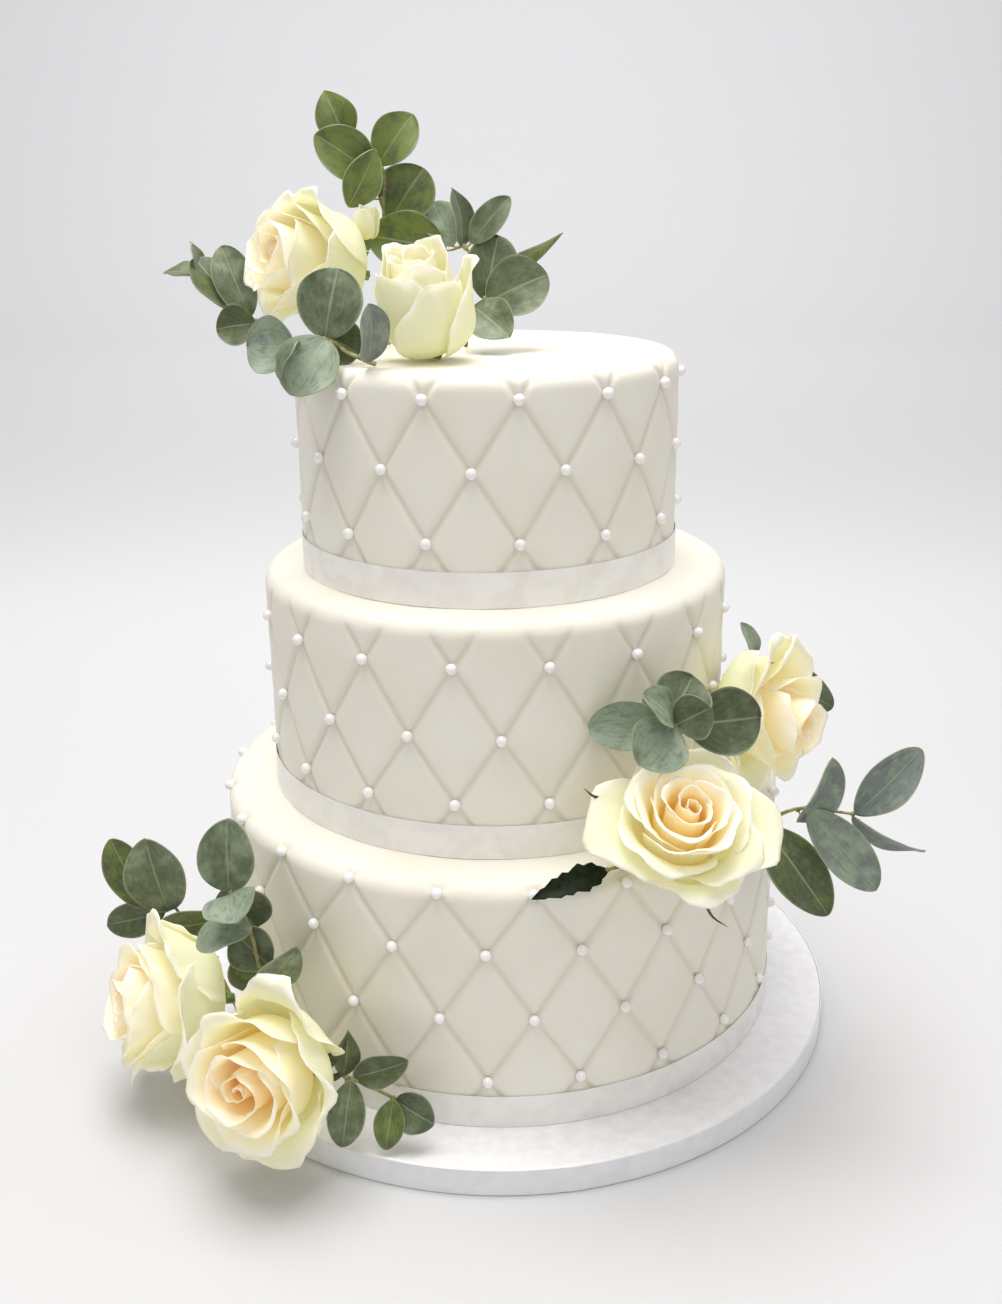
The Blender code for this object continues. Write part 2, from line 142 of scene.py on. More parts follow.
def finish_modifier(piece: bpy.types.Object, kind: str, **settings: object) -> None:
    """Add a modifier with its settings and apply it.

    Args:
        piece: the mesh to change.
        kind: the modifier's type, such as SOLIDIFY.
        settings: the modifier's own properties.
    """
    make_active(piece)
    modifier = piece.modifiers.new(kind.lower(), kind)
    for key, value in settings.items():
        setattr(modifier, key, value)
    bpy.ops.object.modifier_apply(modifier=modifier.name)


def copy_mesh(template: bpy.types.Object, name: str) -> bpy.types.Object:
    """A copy of a piece with its own mesh.

    Args:
        template: the piece to copy.
        name: the copy's name.

    Returns:
        The copy.
    """
    piece = template.copy()
    piece.data = template.data.copy()
    piece.name = name
    bpy.context.scene.collection.objects.link(piece)
    return piece


def join_pieces(pieces: list[bpy.types.Object], name: str) -> bpy.types.Object:
    """Join meshes into one piece and name it.

    Args:
        pieces: the meshes to join.
        name: the whole's name.

    Returns:
        The whole.
    """
    deselect_all()
    for piece in pieces:
        piece.select_set(True)
    bpy.context.view_layer.objects.active = pieces[0]
    if len(pieces) > 1:
        bpy.ops.object.join()
    whole = bpy.context.view_layer.objects.active
    whole.name = name
    whole.data.name = name
    return whole


def shade_smooth(piece: bpy.types.Object, degrees: float = 180.0) -> None:
    """Shade a piece smooth, with edges sharper than the angle left sharp.

    Args:
        piece: the mesh to shade.
        degrees: the angle; at 180 every edge is smooth.
    """
    make_active(piece)
    if degrees >= 180.0:
        bpy.ops.object.shade_smooth()
    else:
        bpy.ops.object.shade_smooth_by_angle(angle=math.radians(degrees))


def dress(piece: bpy.types.Object, material: bpy.types.Material) -> None:
    """Give a piece one material."""
    piece.data.materials.clear()
    piece.data.materials.append(material)


def hand_over(
    piece: bpy.types.Object, material: bpy.types.Material, slot: str, *nodes: str
) -> None:
    """Dress a piece, let it ride on the cake and stand for its nodes, and report it.

    Args:
        piece: the finished piece.
        material: its one material.
        slot: a name for its material; not used.
        nodes: the nodes that it stands for.
    """
    dress(piece, material)
    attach(piece, BODY)
    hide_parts(*nodes)
    LOG.info("%s: %d faces, for %s", piece.name, len(piece.data.polygons), ", ".join(nodes))


def mix(low: float, high: float, share: float) -> float:
    """The value at a share of the way from low to high."""
    return low + (high - low) * share


def smooth_step(value: np.ndarray | float) -> np.ndarray | float:
    """A soft step from 0 to 1 over the range 0 to 1."""
    held = np.clip(value, 0.0, 1.0)
    return held * held * (3 - 2 * held)


def turn_and_reach(places: np.ndarray) -> tuple[np.ndarray, np.ndarray]:
    """The angle from the front, in radians, and the distance from the centre line of places."""
    return np.arctan2(places[:, 0], -places[:, 1]), np.hypot(places[:, 0], places[:, 1])


def edge_rises(piece: bpy.types.Object) -> np.ndarray:
    """How much higher one end of each edge of a mesh is than the other, in metres."""
    pairs = np.array([edge.vertices[:] for edge in piece.data.edges])
    return np.abs(np.diff(read_places(piece)[pairs, 2], axis=1)).ravel()


def axes_about(direction: Vector, hint: Vector) -> tuple[Vector, Vector, Vector]:
    """Unit vectors along a direction, across it, and out of it as near the hint as can be.

    Args:
        direction: the way along.
        hint: the way that the third vector should nearly face.

    Returns:
        The vectors along, across and out.
    """
    along = direction.normalized()
    side = along.cross(hint).normalized()
    return along, side, side.cross(along)


def tube_along(points: list[Vector], radii: list[float], name: str) -> bpy.types.Object:
    """A round stalk through points, made as a bevelled curve and turned into a mesh.

    Args:
        points: the places that it passes through, in metres.
        radii: its radius at each of them.
        name: the new piece's name.

    Returns:
        The stalk.
    """
    curve = bpy.data.curves.new(name, "CURVE")
    curve.dimensions = "3D"
    curve.resolution_u = 5
    curve.bevel_depth = 1.0
    curve.bevel_resolution = 1
    curve.use_fill_caps = True
    spline = curve.splines.new("BEZIER")
    spline.bezier_points.add(len(points) - 1)
    for knot, point, radius in zip(spline.bezier_points, points, radii):
        knot.co = point
        knot.radius = radius
        knot.handle_left_type = "AUTO"
        knot.handle_right_type = "AUTO"
    piece = bpy.data.objects.new(name, curve)
    bpy.context.scene.collection.objects.link(piece)
    make_active(piece)
    bpy.ops.object.convert(target="MESH")
    return bpy.context.active_object


# Materials


def linear(hex_colour: str) -> Colour:
    """An sRGB hex colour as the linear values that shaders take.

    Args:
        hex_colour: such as #F8F4E8.

    Returns:
        Red, green, blue and full opacity.
    """
    parts = [int(hex_colour[i : i + 2], 16) / 255 for i in (1, 3, 5)]
    red, green, blue = (p / 12.92 if p <= 0.04045 else ((p + 0.055) / 1.055) ** 2.4 for p in parts)
    return (red, green, blue, 1.0)


def per_mm(feature: float) -> float:
    """The texture scale that gives a pattern of this size in millimetres on Object coordinates."""
    return 1.0 / (feature * MM)


class Look:
    """A new material, with the nodes that its finish feeds its Principled shader with."""

    def __init__(self, name: str) -> None:
        """Start the material.

        Args:
            name: the material's name.
        """
        self.material = bpy.data.materials.new(name)
        self.material.use_nodes = True
        self.tree = self.material.node_tree
        self.shader = self.tree.nodes["Principled BSDF"]
        self.place = self.add("TexCoord").outputs["Object"]

    def feed(self, node: bpy.types.Node, inputs: dict) -> None:
        """Give a node its inputs.

        Args:
            node: the node to feed.
            inputs: for each socket's name or number, its value, or the output that feeds it.
        """
        for key, value in inputs.items():
            if isinstance(value, bpy.types.NodeSocket):
                self.tree.links.new(value, node.inputs[key])
            else:
                node.inputs[key].default_value = value

    def add(self, kind: str, inputs: dict | None = None, **settings: object) -> bpy.types.Node:
        """Add one node, with its settings and links.

        Args:
            kind: the shader node's type, such as Bump.
            inputs: for each socket's name or number, its value, or the output that feeds it.
            settings: the node's own properties.

        Returns:
            The new node.
        """
        node = self.tree.nodes.new("ShaderNode" + kind)
        for key, value in settings.items():
            setattr(node, key, value)
        self.feed(node, inputs or {})
        return node

    def ramp(self, share: Socket, stops: Stops) -> Socket:
        """A colour ramp through hex colours.

        Args:
            share: the output that drives the ramp.
            stops: the place, from 0 to 1, and the hex of each colour.

        Returns:
            The ramp's colour.
        """
        ramp = self.add("ValToRGB", {0: share})
        elements = ramp.color_ramp.elements
        while len(elements) < len(stops):
            elements.new(1.0)
        for element, (place, hex_colour) in zip(elements, stops):
            element.position = place
            element.color = linear(hex_colour)
        return ramp.outputs["Color"]

    def attribute(self, name: str) -> Socket:
        """The number that the mesh holds for each vertex under this name."""
        return self.add("Attribute", attribute_name=name).outputs["Fac"]

    def math(self, operation: str, *values: Socket | float) -> Socket:
        """One step of arithmetic, such as MULTIPLY_ADD, on outputs and numbers."""
        return self.add("Math", dict(enumerate(values)), operation=operation).outputs[0]

    def span(
        self,
        value: Socket,
        low: float,
        high: float,
        first: float = 0.0,
        last: float = 1.0,
        **settings: object,
    ) -> Socket:
        """Turn one range of a value into another.

        Args:
            value: the output to turn.
            low: the value that gives first.
            high: the value that gives last.
            first: what low and less give.
            last: what high and more give.
            settings: the node's own properties.

        Returns:
            The new value.
        """
        inputs = {0: value, 1: low, 2: high, 3: first, 4: last}
        return self.add("MapRange", inputs, **settings).outputs[0]

    def blend(
        self, share: Socket | float, near: Socket, far: Socket | Colour, **kind: str
    ) -> Socket:
        """Mix two colours.

        Args:
            share: how much of the far one shows.
            near: the colour at 0.
            far: the colour at 1.
            kind: the node's blend_type, where it isn't a plain mix.

        Returns:
            The mixed colour.
        """
        inputs = {"Factor": share, "A": near, "B": far}
        return self.add("Mix", inputs, data_type="RGBA", **kind).outputs["Result"]

    def noise(self, size: float, detail: float, **inputs: float) -> Socket:
        """Clouds all over the piece.

        Args:
            size: their size in millimetres.
            detail: how many finer layers they have.
            inputs: the noise's other inputs.

        Returns:
            The noise, from 0 to 1.
        """
        known = {"Vector": self.place, "Scale": per_mm(size), "Detail": detail}
        return self.add("TexNoise", known | inputs).outputs["Fac"]

    def bump(self, height: Socket, strength: float, depth: float) -> Socket:
        """Fine relief, below what the mesh holds.

        Args:
            height: the output that raises and lowers the surface.
            strength: from 0 to 1.
            depth: in millimetres.

        Returns:
            The normal.
        """
        inputs = {"Height": height, "Strength": strength, "Distance": depth * MM}
        return self.add("Bump", inputs).outputs["Normal"]

    def finish(self, inputs: dict) -> bpy.types.Material:
        """Feed the Principled shader.

        Args:
            inputs: for each of its sockets, its value, or the output that feeds it.

        Returns:
            The finished material.
        """
        self.feed(self.shader, inputs)
        return self.material


# Finishes


@dataclass(frozen=True)
class RolledFondant:
    """Sugar paste rolled out and smoothed by hand: satin matte, a little translucent, ivory."""

    name: str = "rolled_sugar_paste"
    light: str = "#F8F4E8"
    shade: str = "#F3EEDF"
    # painted shade, laid into the grooves by their depth
    groove_shade: str = "#ECE6D6"
    roughness: float = 0.50
    cloud_mm: float = 45.0
    grain_mm: float = 1.4

    def material(self) -> bpy.types.Material:
        """Ivory with faint clouds where the paste is thinner, a dusty fine grain, and painted shade
        in the grooves.

        Returns:
            The new material.
        """
        look = Look(self.name)
        body = look.ramp(look.noise(self.cloud_mm, 3.0), ((0.35, self.shade), (0.65, self.light)))
        return look.finish(
            {
                # darker where the grooves are deeper: painted shade in the hollows
                "Base Color": look.blend(look.attribute("groove_depth"), body, linear(self.groove_shade)),
                "Normal": look.bump(look.noise(self.grain_mm, 4.0), strength=0.25, depth=0.12),
                "Roughness": self.roughness,
                "Subsurface Weight": 0.15,
                "Subsurface Radius": (1.0, 0.8, 0.55),
                "Subsurface Scale": 2.5 * MM,
                "Specular IOR Level": 0.35,
            }
        )


@dataclass(frozen=True)
class SugarPearl:
    """A sugar ball with a shellac and mica coat: white, with a tight soft highlight."""

    name: str = "sugar_pearl_coat"
    body: str = "#FEFDFB"
    # painted shade at the ball's edge
    rim: str = "#F3EFEC"

    def material(self) -> bpy.types.Material:
        """White lustre with painted shade: it greys slightly towards the ball's edge.

        Returns:
            The new material.
        """
        look = Look(self.name)
        facing = look.add("LayerWeight", {"Blend": 0.35}).outputs["Facing"]
        return look.finish(
            {
                # greyer where the surface turns from the view: painted shade at the edge
                "Base Color": look.ramp(facing, ((0.15, self.body), (0.95, self.rim))),
                "Roughness": 0.22,
                "Coat Weight": 0.6,
                "Coat Roughness": 0.12,
                "Subsurface Weight": 0.10,
                "Subsurface Scale": 1.0 * MM,
            }
        )


@dataclass(frozen=True)
class SatinRibbon:
    """Woven polyester satin: cool white, with clouded sheen where it was ironed and handled, in its
    roughness and as painted sheen in its colour.
    """

    name: str
    # light and shade: the colours of the clouds, which paint the sheen into the colour
    light: str
    shade: str
    roughness: float
    thread_mm: float = 0.45  # real threads are 0.1 mm, too fine to show in the render
    cloud_mm: float = 14.0
    wave_period: float = math.pi / 10  # a wave texture's bands, in its own units

    def material(self) -> bpy.types.Material:
        """Cloudy bands of sheen, in the roughness and as painted sheen in the colour, over fine
        level threads.

        Returns:
            The new material.
        """
        look = Look(self.name)
        clouds = look.noise(self.cloud_mm, 3.0, Distortion=1.0)
        threads = look.add(
            "TexWave",
            {
                "Vector": look.place,
                "Scale": per_mm(self.thread_mm) * self.wave_period,
                "Distortion": 0.4,
            },
            bands_direction="Z",
        ).outputs["Fac"]
        dull, bright = self.roughness + 0.12, self.roughness - 0.06
        return look.finish(
            {
                # the lighter clouds of colour are painted sheen; the rougher and smoother clouds
                # are the real sheen
                "Base Color": look.ramp(clouds, ((0.36, self.shade), (0.62, self.light))),
                "Roughness": look.span(clouds, 0.3, 0.7, dull, bright),
                "Normal": look.bump(threads, strength=0.15, depth=0.02),
                "Sheen Weight": 0.25,
                "Sheen Roughness": 0.4,
            }
        )


@dataclass(frozen=True)
class BoardFoil:
    """Embossed pearl foil paper over cardboard: pale silver with a fine pressed grain."""

    name: str = "pearl_foil_paper"
    light: str = "#F8F7F9"
    shade: str = "#F0EFF2"
    grain_mm: float = 1.1
    cloud_mm: float = 6.0

    def material(self) -> bpy.types.Material:
        """A silvery sheet whose small pressed dimples catch the light.

        Returns:
            The new material.
        """
        look = Look(self.name)
        cells = {"Vector": look.place, "Scale": per_mm(self.grain_mm)}
        dimples = look.add("TexVoronoi", cells).outputs["Distance"]
        clouds = look.noise(self.cloud_mm, 6.0)
        return look.finish(
            {
                "Base Color": look.ramp(clouds, ((0.35, self.shade), (0.65, self.light))),
                "Normal": look.bump(dimples, strength=0.5, depth=0.10),
                "Metallic": 0.15,
                "Roughness": 0.42,
            }
        )


@dataclass(frozen=True)
class RosePetal:
    """Fresh petal of a cream garden rose: velvety, thin, warm where light comes through it."""

    name: str
    young: Stops
    # orange ramp for the petals' feet: partly the rose's own peach and partly painted warm shade
    # deep in the bloom
    peached_and_shaded: Stops
    grown: Stops
    old: Stops
    glow: str
    glow_share: float = 0.35
    inner_light: float = 0.15  # what scatters many times between petals, lost to a few bounces
    cloud_mm: float = 9.0
    vein_map: Point = (46.0, 2.2, 1.0)  # long narrow veins on the petal's own map

    def material(self) -> bpy.types.Material:
        """Warm throat, ivory blade and pale lip, greener on the oldest petals, finely veined; the
        deep warm throat is partly the rose's own colour and partly painted shade inside the bloom,
        and a faint emission is painted light.

        Returns:
            The new material.
        """
        look = Look(self.name)
        age = look.attribute("petal_age")
        drift = look.math("SUBTRACT", look.noise(self.cloud_mm, 3.0), 0.5)
        level = look.math("MULTIPLY_ADD", drift, 0.30, look.attribute("petal_rise"))
        tired = look.math("MULTIPLY_ADD", look.attribute("petal_chance"), 0.20, age)
        # each ramp runs from a petal's foot to its lip: the deep warm colour at the foot is partly
        # the rose's own and partly painted shade deep in the bloom
        colour = look.ramp(level, self.young)
        for share, stops in (
            # partly peach, partly painted warm shade
            (look.attribute("petal_peach_and_shade"), self.peached_and_shaded),
            (look.span(age, 0.05, 0.34), self.grown),
            (look.span(tired, 0.50, 0.96), self.old),
        ):
            colour = look.blend(share, colour, look.ramp(level, stops))
        mapped = {"Vector": look.add("UVMap").outputs["UV"], "Scale": self.vein_map}
        veined = {
            "Vector": look.add("Mapping", mapped).outputs["Vector"],
            "Scale": 1.0,
            "Detail": 2.0,
            "Distortion": 0.6,
        }
        relief = look.bump(look.add("TexNoise", veined).outputs["Fac"], strength=0.55, depth=0.40)
        warm = look.blend(1.0, colour, linear(self.glow), blend_type="MULTIPLY")
        through = look.add("BsdfTranslucent", {"Color": warm, "Normal": relief}).outputs[0]
        shared = {0: self.glow_share, 1: look.shader.outputs[0], 2: through}
        both = look.add("MixShader", shared).outputs[0]
        look.feed(look.tree.nodes["Material Output"], {"Surface": both})
        return look.finish(
            {
                "Base Color": colour,
                "Normal": relief,
                "Roughness": 0.55,
                "Specular IOR Level": 0.30,
                # the petals glow faintly: painted light for what scatters between them
                "Emission Color": warm,
                "Emission Strength": self.inner_light,
            }
        )


@dataclass(frozen=True)
class EucalyptusLeaf:
    """Waxy gum leaf: grey bloom over green, pale midrib, darker freckles and a thin light rim."""

    name: str = "eucalyptus_leaf_wax"
    # olive to grey, with a darker and a paler step between them that paint shaded and lit leaves
    tones: Stops = (
        (0.0, "#6E7F33"),
        (0.25, "#485231"),
        (0.5, "#6A7657"),
        (0.75, "#95A48B"),
        (1.0, "#737C77"),
    )
    freckle: str = "#35422B"
    rib: str = "#A2AE8A"
    rim: str = "#9AA67E"
    patch_mm: float = 7.0
    freckle_map: Point = (15.0, 6.0, 1.0)
    side_veins: float = 52.0  # radians of vein wave along the leaf
    vein_slant: float = -0.9

    def material(self) -> bpy.types.Material:
        """Mottled green by each leaf's tone, which is partly its own colour and partly painted
        light and shade, with ribs drawn on the leaf's own map.

        Returns:
            The new material.
        """
        look = Look(self.name)
        leaf_map = look.add("UVMap").outputs["UV"]
        tone = look.attribute("leaf_tone")
        drift = look.math("SUBTRACT", look.noise(self.patch_mm, 5.0, Roughness=0.6), 0.5)
        # each leaf's tone: its own green or grey, and painted light and shade
        colour = look.ramp(look.math("MULTIPLY_ADD", drift, 0.9, tone), self.tones)
        mapped = {"Vector": leaf_map, "Scale": self.freckle_map}
        fine = {
            "Vector": look.add("Mapping", mapped).outputs["Vector"],
            "W": look.math("MULTIPLY", tone, 40.0),  # other freckles on each leaf
            "Scale": 1.0,
            "Detail": 4.0,
        }
        freckles = look.add("TexNoise", fine, noise_dimensions="4D").outputs["Fac"]
        freckled = look.span(freckles, 0.52, 0.68, 0.0, 0.45)
        colour = look.blend(freckled, colour, linear(self.freckle))
        across, along, _ = look.add("SeparateXYZ", {0: leaf_map}).outputs
        from_rib = look.math("ABSOLUTE", look.math("SUBTRACT", across, 0.5))
        slant = look.math("MULTIPLY_ADD", from_rib, self.vein_slant, along)
        waves = look.math("SINE", look.math("MULTIPLY", slant, self.side_veins))
        rib = look.span(from_rib, 0.008, 0.026, 0.50, 0.0)
        ribbed = look.math("MAXIMUM", rib, look.span(waves, 0.93, 1.0, 0.0, 0.14))
        colour = look.blend(ribbed, colour, linear(self.rib))
        margin = look.span(from_rib, 0.46, 0.495, 0.0, 0.6)
        return look.finish(
            {
                "Base Color": look.blend(margin, colour, linear(self.rim)),
                "Normal": look.bump(ribbed, strength=0.4, depth=0.15),
                "Roughness": 0.5,
                "Sheen Weight": 0.2,
                "Sheen Roughness": 0.5,
            }
        )


@dataclass(frozen=True)
class GreenStalk:
    """Young stalk: yellow-green skin with brown scars, slightly glossy."""

    name: str
    light: str
    dark: str
    shine: float = 0.5
    streak_mm: float = 3.0

    def material(self) -> bpy.types.Material:
        """Streaks of two greens in the stalk's own scale.

        Returns:
            The new material.
        """
        look = Look(self.name)
        streaks = look.noise(self.streak_mm, 4.0)
        return look.finish(
            {
                "Base Color": look.ramp(streaks, ((0.38, self.dark), (0.62, self.light))),
                "Normal": look.bump(streaks, strength=0.3, depth=0.15),
                "Roughness": 0.5,
                "Specular IOR Level": self.shine,
            }
        )


@dataclass(frozen=True)
class StudioPaper:
    """Matte seamless paper of the studio, greyer near the cake and paler behind it: painted light
    and shade of the sweep.
    """

    name: str = "studio_paper"
    # painted light and shade: the floor's tone near the cake and the backdrop's behind it
    near: str = "#D3D3D4"
    far: str = "#E2E2E3"
    turn_from: float = 0.12
    turn_to: float = 0.75

    def material(self) -> bpy.types.Material:
        """A soft band across the paper where the floor's greyer tone turns to the backdrop's paler
        one, both painted light and shade.

        Returns:
            The new material.
        """
        look = Look(self.name)
        depth = look.add("SeparateXYZ", {0: look.place}).outputs["Y"]
        turning = look.span(depth, self.turn_from, self.turn_to, interpolation_type="SMOOTHSTEP")
        colour = look.ramp(turning, ((0.0, self.near), (1.0, self.far)))
        return look.finish({"Base Color": colour, "Roughness": 0.8})


# Board and ribbons


@dataclass(frozen=True)
class CakeBoard:
    """The round drum board under the cake; sizes in millimetres."""

    radius: float = 160.0
    thickness: float = 12.5
    edge_rounding: float = 0.9
    segments: int = 192
    band_gap: float = 0.7
    band_thickness: float = 0.35
    band_inset: float = 0.4  # how much narrower it is than the board is thick
    seam_turn: float = 8.5  # degrees from the front to where the band's ends overlap
    overlap: float = 9.0
    lap_height: float = 0.25
    wrinkle_depth: float = 0.12
    wrinkle_length: float = 2.3
    wrinkle_place: float = -112.0  # along the band from its seam
    wrinkle_spread: float = 9.0

    def build_drum(self) -> bpy.types.Object:
        """A cylinder with its two rims bevelled, where the foil is folded over the card.

        Returns:
            The drum.
        """
        deselect_all()
        bpy.ops.mesh.primitive_cylinder_add(
            vertices=self.segments,
            radius=(self.radius - self.band_gap) * MM,
            depth=self.thickness * MM,
            location=(0, 0, self.thickness * MM / 2),
        )
        drum = name_new("board_drum")
        select_in_edit(drum, "EDGE", edge_rises(drum) < LEVEL)
        bpy.ops.mesh.bevel(offset=self.edge_rounding * MM, segments=3)
        bpy.ops.object.mode_set(mode="OBJECT")
        shade_smooth(drum, 40)
        return drum

    def build_band(self) -> bpy.types.Object:
        """The white ribbon on the board's edge, with its end lapped over its start.

        Returns:
            The band.
        """
        deselect_all()
        inner = (self.radius - self.band_gap + 0.1) * MM
        bpy.ops.mesh.primitive_cylinder_add(
            vertices=self.segments * 2,
            radius=inner,
            depth=(self.thickness - self.band_inset) * MM,
            end_fill_type="NOTHING",
            location=(0, 0, (self.thickness + self.band_inset) / 2 * MM),
        )
        band = name_new("board_edge_band")
        finish_modifier(band, "SOLIDIFY", thickness=self.band_thickness * MM, offset=1.0)
        places = read_places(band)
        turn, reach = turn_and_reach(places)
        along = (turn - math.radians(self.seam_turn)) * self.radius
        lapped = (along > 0) & (along < self.overlap)
        fading = np.exp(-(((along - self.wrinkle_place) / self.wrinkle_spread) ** 2))
        wrinkle = self.wrinkle_depth * np.sin(along / self.wrinkle_length) * fading
        outside = reach > inner + 0.2 * MM
        grown = reach + (self.lap_height * lapped + wrinkle) * MM * outside
        places[:, :2] *= (grown / reach)[:, None]
        write_places(band, places)
        shade_smooth(band, 40)
        return band

    def make(self, foil: bpy.types.Material, satin: bpy.types.Material) -> None:
        """Build and dress the board and its band.

        Args:
            foil: the drum's material.
            satin: the band's material.
        """
        drum = self.build_drum()
        hand_over(drum, foil, "board_foil", "board")
        band = self.build_band()
        hand_over(band, satin, "board_ribbon", "board_edge_ribbon")


# Tiers


@dataclass(frozen=True)
class QuiltedTier:
    """One tier: quilted wall, rounded rim, flat top, pearls and ribbon; millimetres, degrees."""

    node: str
    radius: float
    centre_x: float
    base: float
    top: float
    columns: int
    first_column: float
    pearl_rows: tuple[float, ...]
    fade_length: float  # how far the grooves run on above the last pearls, over the paste
    cuts: int = 20  # mesh steps for each half column and each row
    row_step: float = 29.4
    rim_rounding: float = 7.0
    rim_cuts: int = 7
    groove_depth: float = 1.20
    groove_width: float = 1.35
    shoulder_depth: float = 0.32
    shoulder_width: float = 5.5
    fade_from: float = 0.5  # in fade lengths past the last pearls, and over how many
    fade_over: float = 0.6
    ironed_out: float = 0.65  # how much of a groove's depth the ribbon presses flat
    pearl_radius: float = 2.5
    pearl_sink: float = 1.25
    pearl_seat: float = 0.6  # how far into the groove's depth it is pushed
    ribbon_width: float = 15.0
    ribbon_lift: float = 0.22
    ribbon_thickness: float = 0.3
    ribbon_segments: int = 256
    ribbon_cuts: int = 5
    ease: float = 0.12  # how far the ribbon stands off, and how much that changes along it
    ease_change: float = 0.16
    top_rings: int = 4
    top_ring_share: float = 0.22
    hand_wave: float = 0.22  # how uneven the hand-smoothed paste is
    hand_wave_length: float = 24.0

    def row_runs(self) -> tuple[np.ndarray, np.ndarray]:
        """Row numbers and where they lie over the paste, with three more rows at both ends.

        Returns:
            The numbers, and each row's run over the paste in millimetres.
        """
        rows = self.run_at(np.array(self.pearl_rows) + self.base)
        below = rows[0] - self.row_step * np.arange(3, 0, -1)
        above = rows[-1] + self.row_step * np.arange(1, 4)
        runs = np.concatenate([below, rows, above])
        return np.arange(len(runs)) - 3.0, runs

    def slope_at(self, height: np.ndarray | float) -> np.ndarray | float:
        """How far the paste has turned over at a height, in radians: 0 on the upright wall."""
        rise = (height - self.top + self.rim_rounding) / self.rim_rounding
        return np.arcsin(np.clip(rise, 0.0, 1.0))

    def run_at(self, height: np.ndarray | float) -> np.ndarray | float:
        """Height as measured over the paste: up the wall, then along the rim's rounding."""
        wall_top = self.top - self.rim_rounding
        return np.minimum(height, wall_top) + self.rim_rounding * self.slope_at(height)

    def groove(self, turn: np.ndarray, height: np.ndarray) -> np.ndarray:
        """How deep the paste is pressed in, in millimetres.

        Args:
            turn: angles from the front, in radians.
            height: heights in millimetres.

        Returns:
            The depth at each place.
        """
        numbers, runs = self.row_runs()
        run = self.run_at(height)
        row = np.interp(run, runs, numbers)
        half_column = math.pi / self.columns
        column = (turn - math.radians(self.first_column)) / half_column
        arc = half_column * self.radius
        spacing = arc * self.row_step / math.hypot(arc, self.row_step)
        depth = np.zeros_like(row)
        for slant in (column - row, column + row):
            off_line = np.abs((slant + 1) % 2 - 1) * spacing
            pressed = self.groove_depth * np.exp(-((off_line / self.groove_width) ** 2))
            pressed += self.shoulder_depth * np.exp(-((off_line / self.shoulder_width) ** 2))
            depth = (depth**4 + pressed**4) ** 0.25
        last_pearl = self.run_at(self.base + self.pearl_rows[-1])
        past_last = run - last_pearl - self.fade_from * self.fade_length
        past_last = past_last / (self.fade_over * self.fade_length)
        under_ribbon = smooth_step((self.base + self.ribbon_width + 0.5 - height) / 1.5)
        return depth * (1 - smooth_step(past_last)) * (1 - self.ironed_out * under_ribbon)

    def build_paste(self) -> bpy.types.Object:
        """A cylinder whose wall is cut in rows and whose top is inset over the rounded rim.

        Returns:
            The smooth tier, still about the centre line.
        """
        deselect_all()
        wall_top = self.top - self.rim_rounding
        bpy.ops.mesh.primitive_cylinder_add(
            vertices=self.columns * 2 * self.cuts,
            radius=self.radius * MM,
            depth=(wall_top - self.base) * MM,
            location=(0, 0, (wall_top + self.base) / 2 * MM),
            rotation=(0, 0, math.radians(self.first_column)),
        )
        paste = name_new(self.node + "_paste")
        rows = round((wall_top - self.base) / self.row_step * self.cuts)
        select_in_edit(paste, "EDGE", edge_rises(paste) > LEVEL)
        bpy.ops.mesh.subdivide(number_cuts=rows - 1)
        bpy.ops.object.mode_set(mode="OBJECT")
        tops = np.array([face.center[2] > (wall_top - 0.01) * MM for face in paste.data.polygons])
        select_in_edit(paste, "FACE", tops)
        reach = self.radius
        height = wall_top
        for step in range(1, self.rim_cuts + 1):
            slope = math.pi / 2 * step / self.rim_cuts
            next_reach = self.radius - self.rim_rounding * (1 - math.cos(slope))
            next_height = wall_top + self.rim_rounding * math.sin(slope)
            inward, upward = (reach - next_reach) * MM, (next_height - height) * MM
            bpy.ops.mesh.inset(thickness=inward, depth=upward, use_even_offset=True)
            reach, height = next_reach, next_height
        for _ in range(self.top_rings):
            bpy.ops.mesh.inset(thickness=reach * MM * self.top_ring_share, depth=0.0)
            reach *= 1 - self.top_ring_share
        bpy.ops.object.mode_set(mode="OBJECT")
        return paste

    def press_quilting(self, paste: bpy.types.Object) -> None:
        """Press the grooves and the hand-smoothed unevenness into the wall and the rim.

        Args:
            paste: the smooth tier.
        """
        places = read_places(paste) / MM
        turn, reach = turn_and_reach(places)
        height = places[:, 2]
        slope = self.slope_at(height)
        on_wall = reach > self.radius - self.rim_rounding - 0.01
        depth = np.where(on_wall, self.groove(turn, height), 0.0)
        waves = np.array([noise.noise(Vector(place) / self.hand_wave_length) for place in places])
        inward = depth + self.hand_wave * waves * (height > self.base + 1.0)
        moved = reach - inward * np.cos(slope) * on_wall
        dropped = height - inward * np.sin(slope)
        across = self.centre_x + moved * np.sin(turn)
        write_places(paste, np.column_stack([across, -moved * np.cos(turn), dropped]) * MM)
        write_attribute(paste, "groove_depth", depth / (self.groove_depth + self.shoulder_depth))

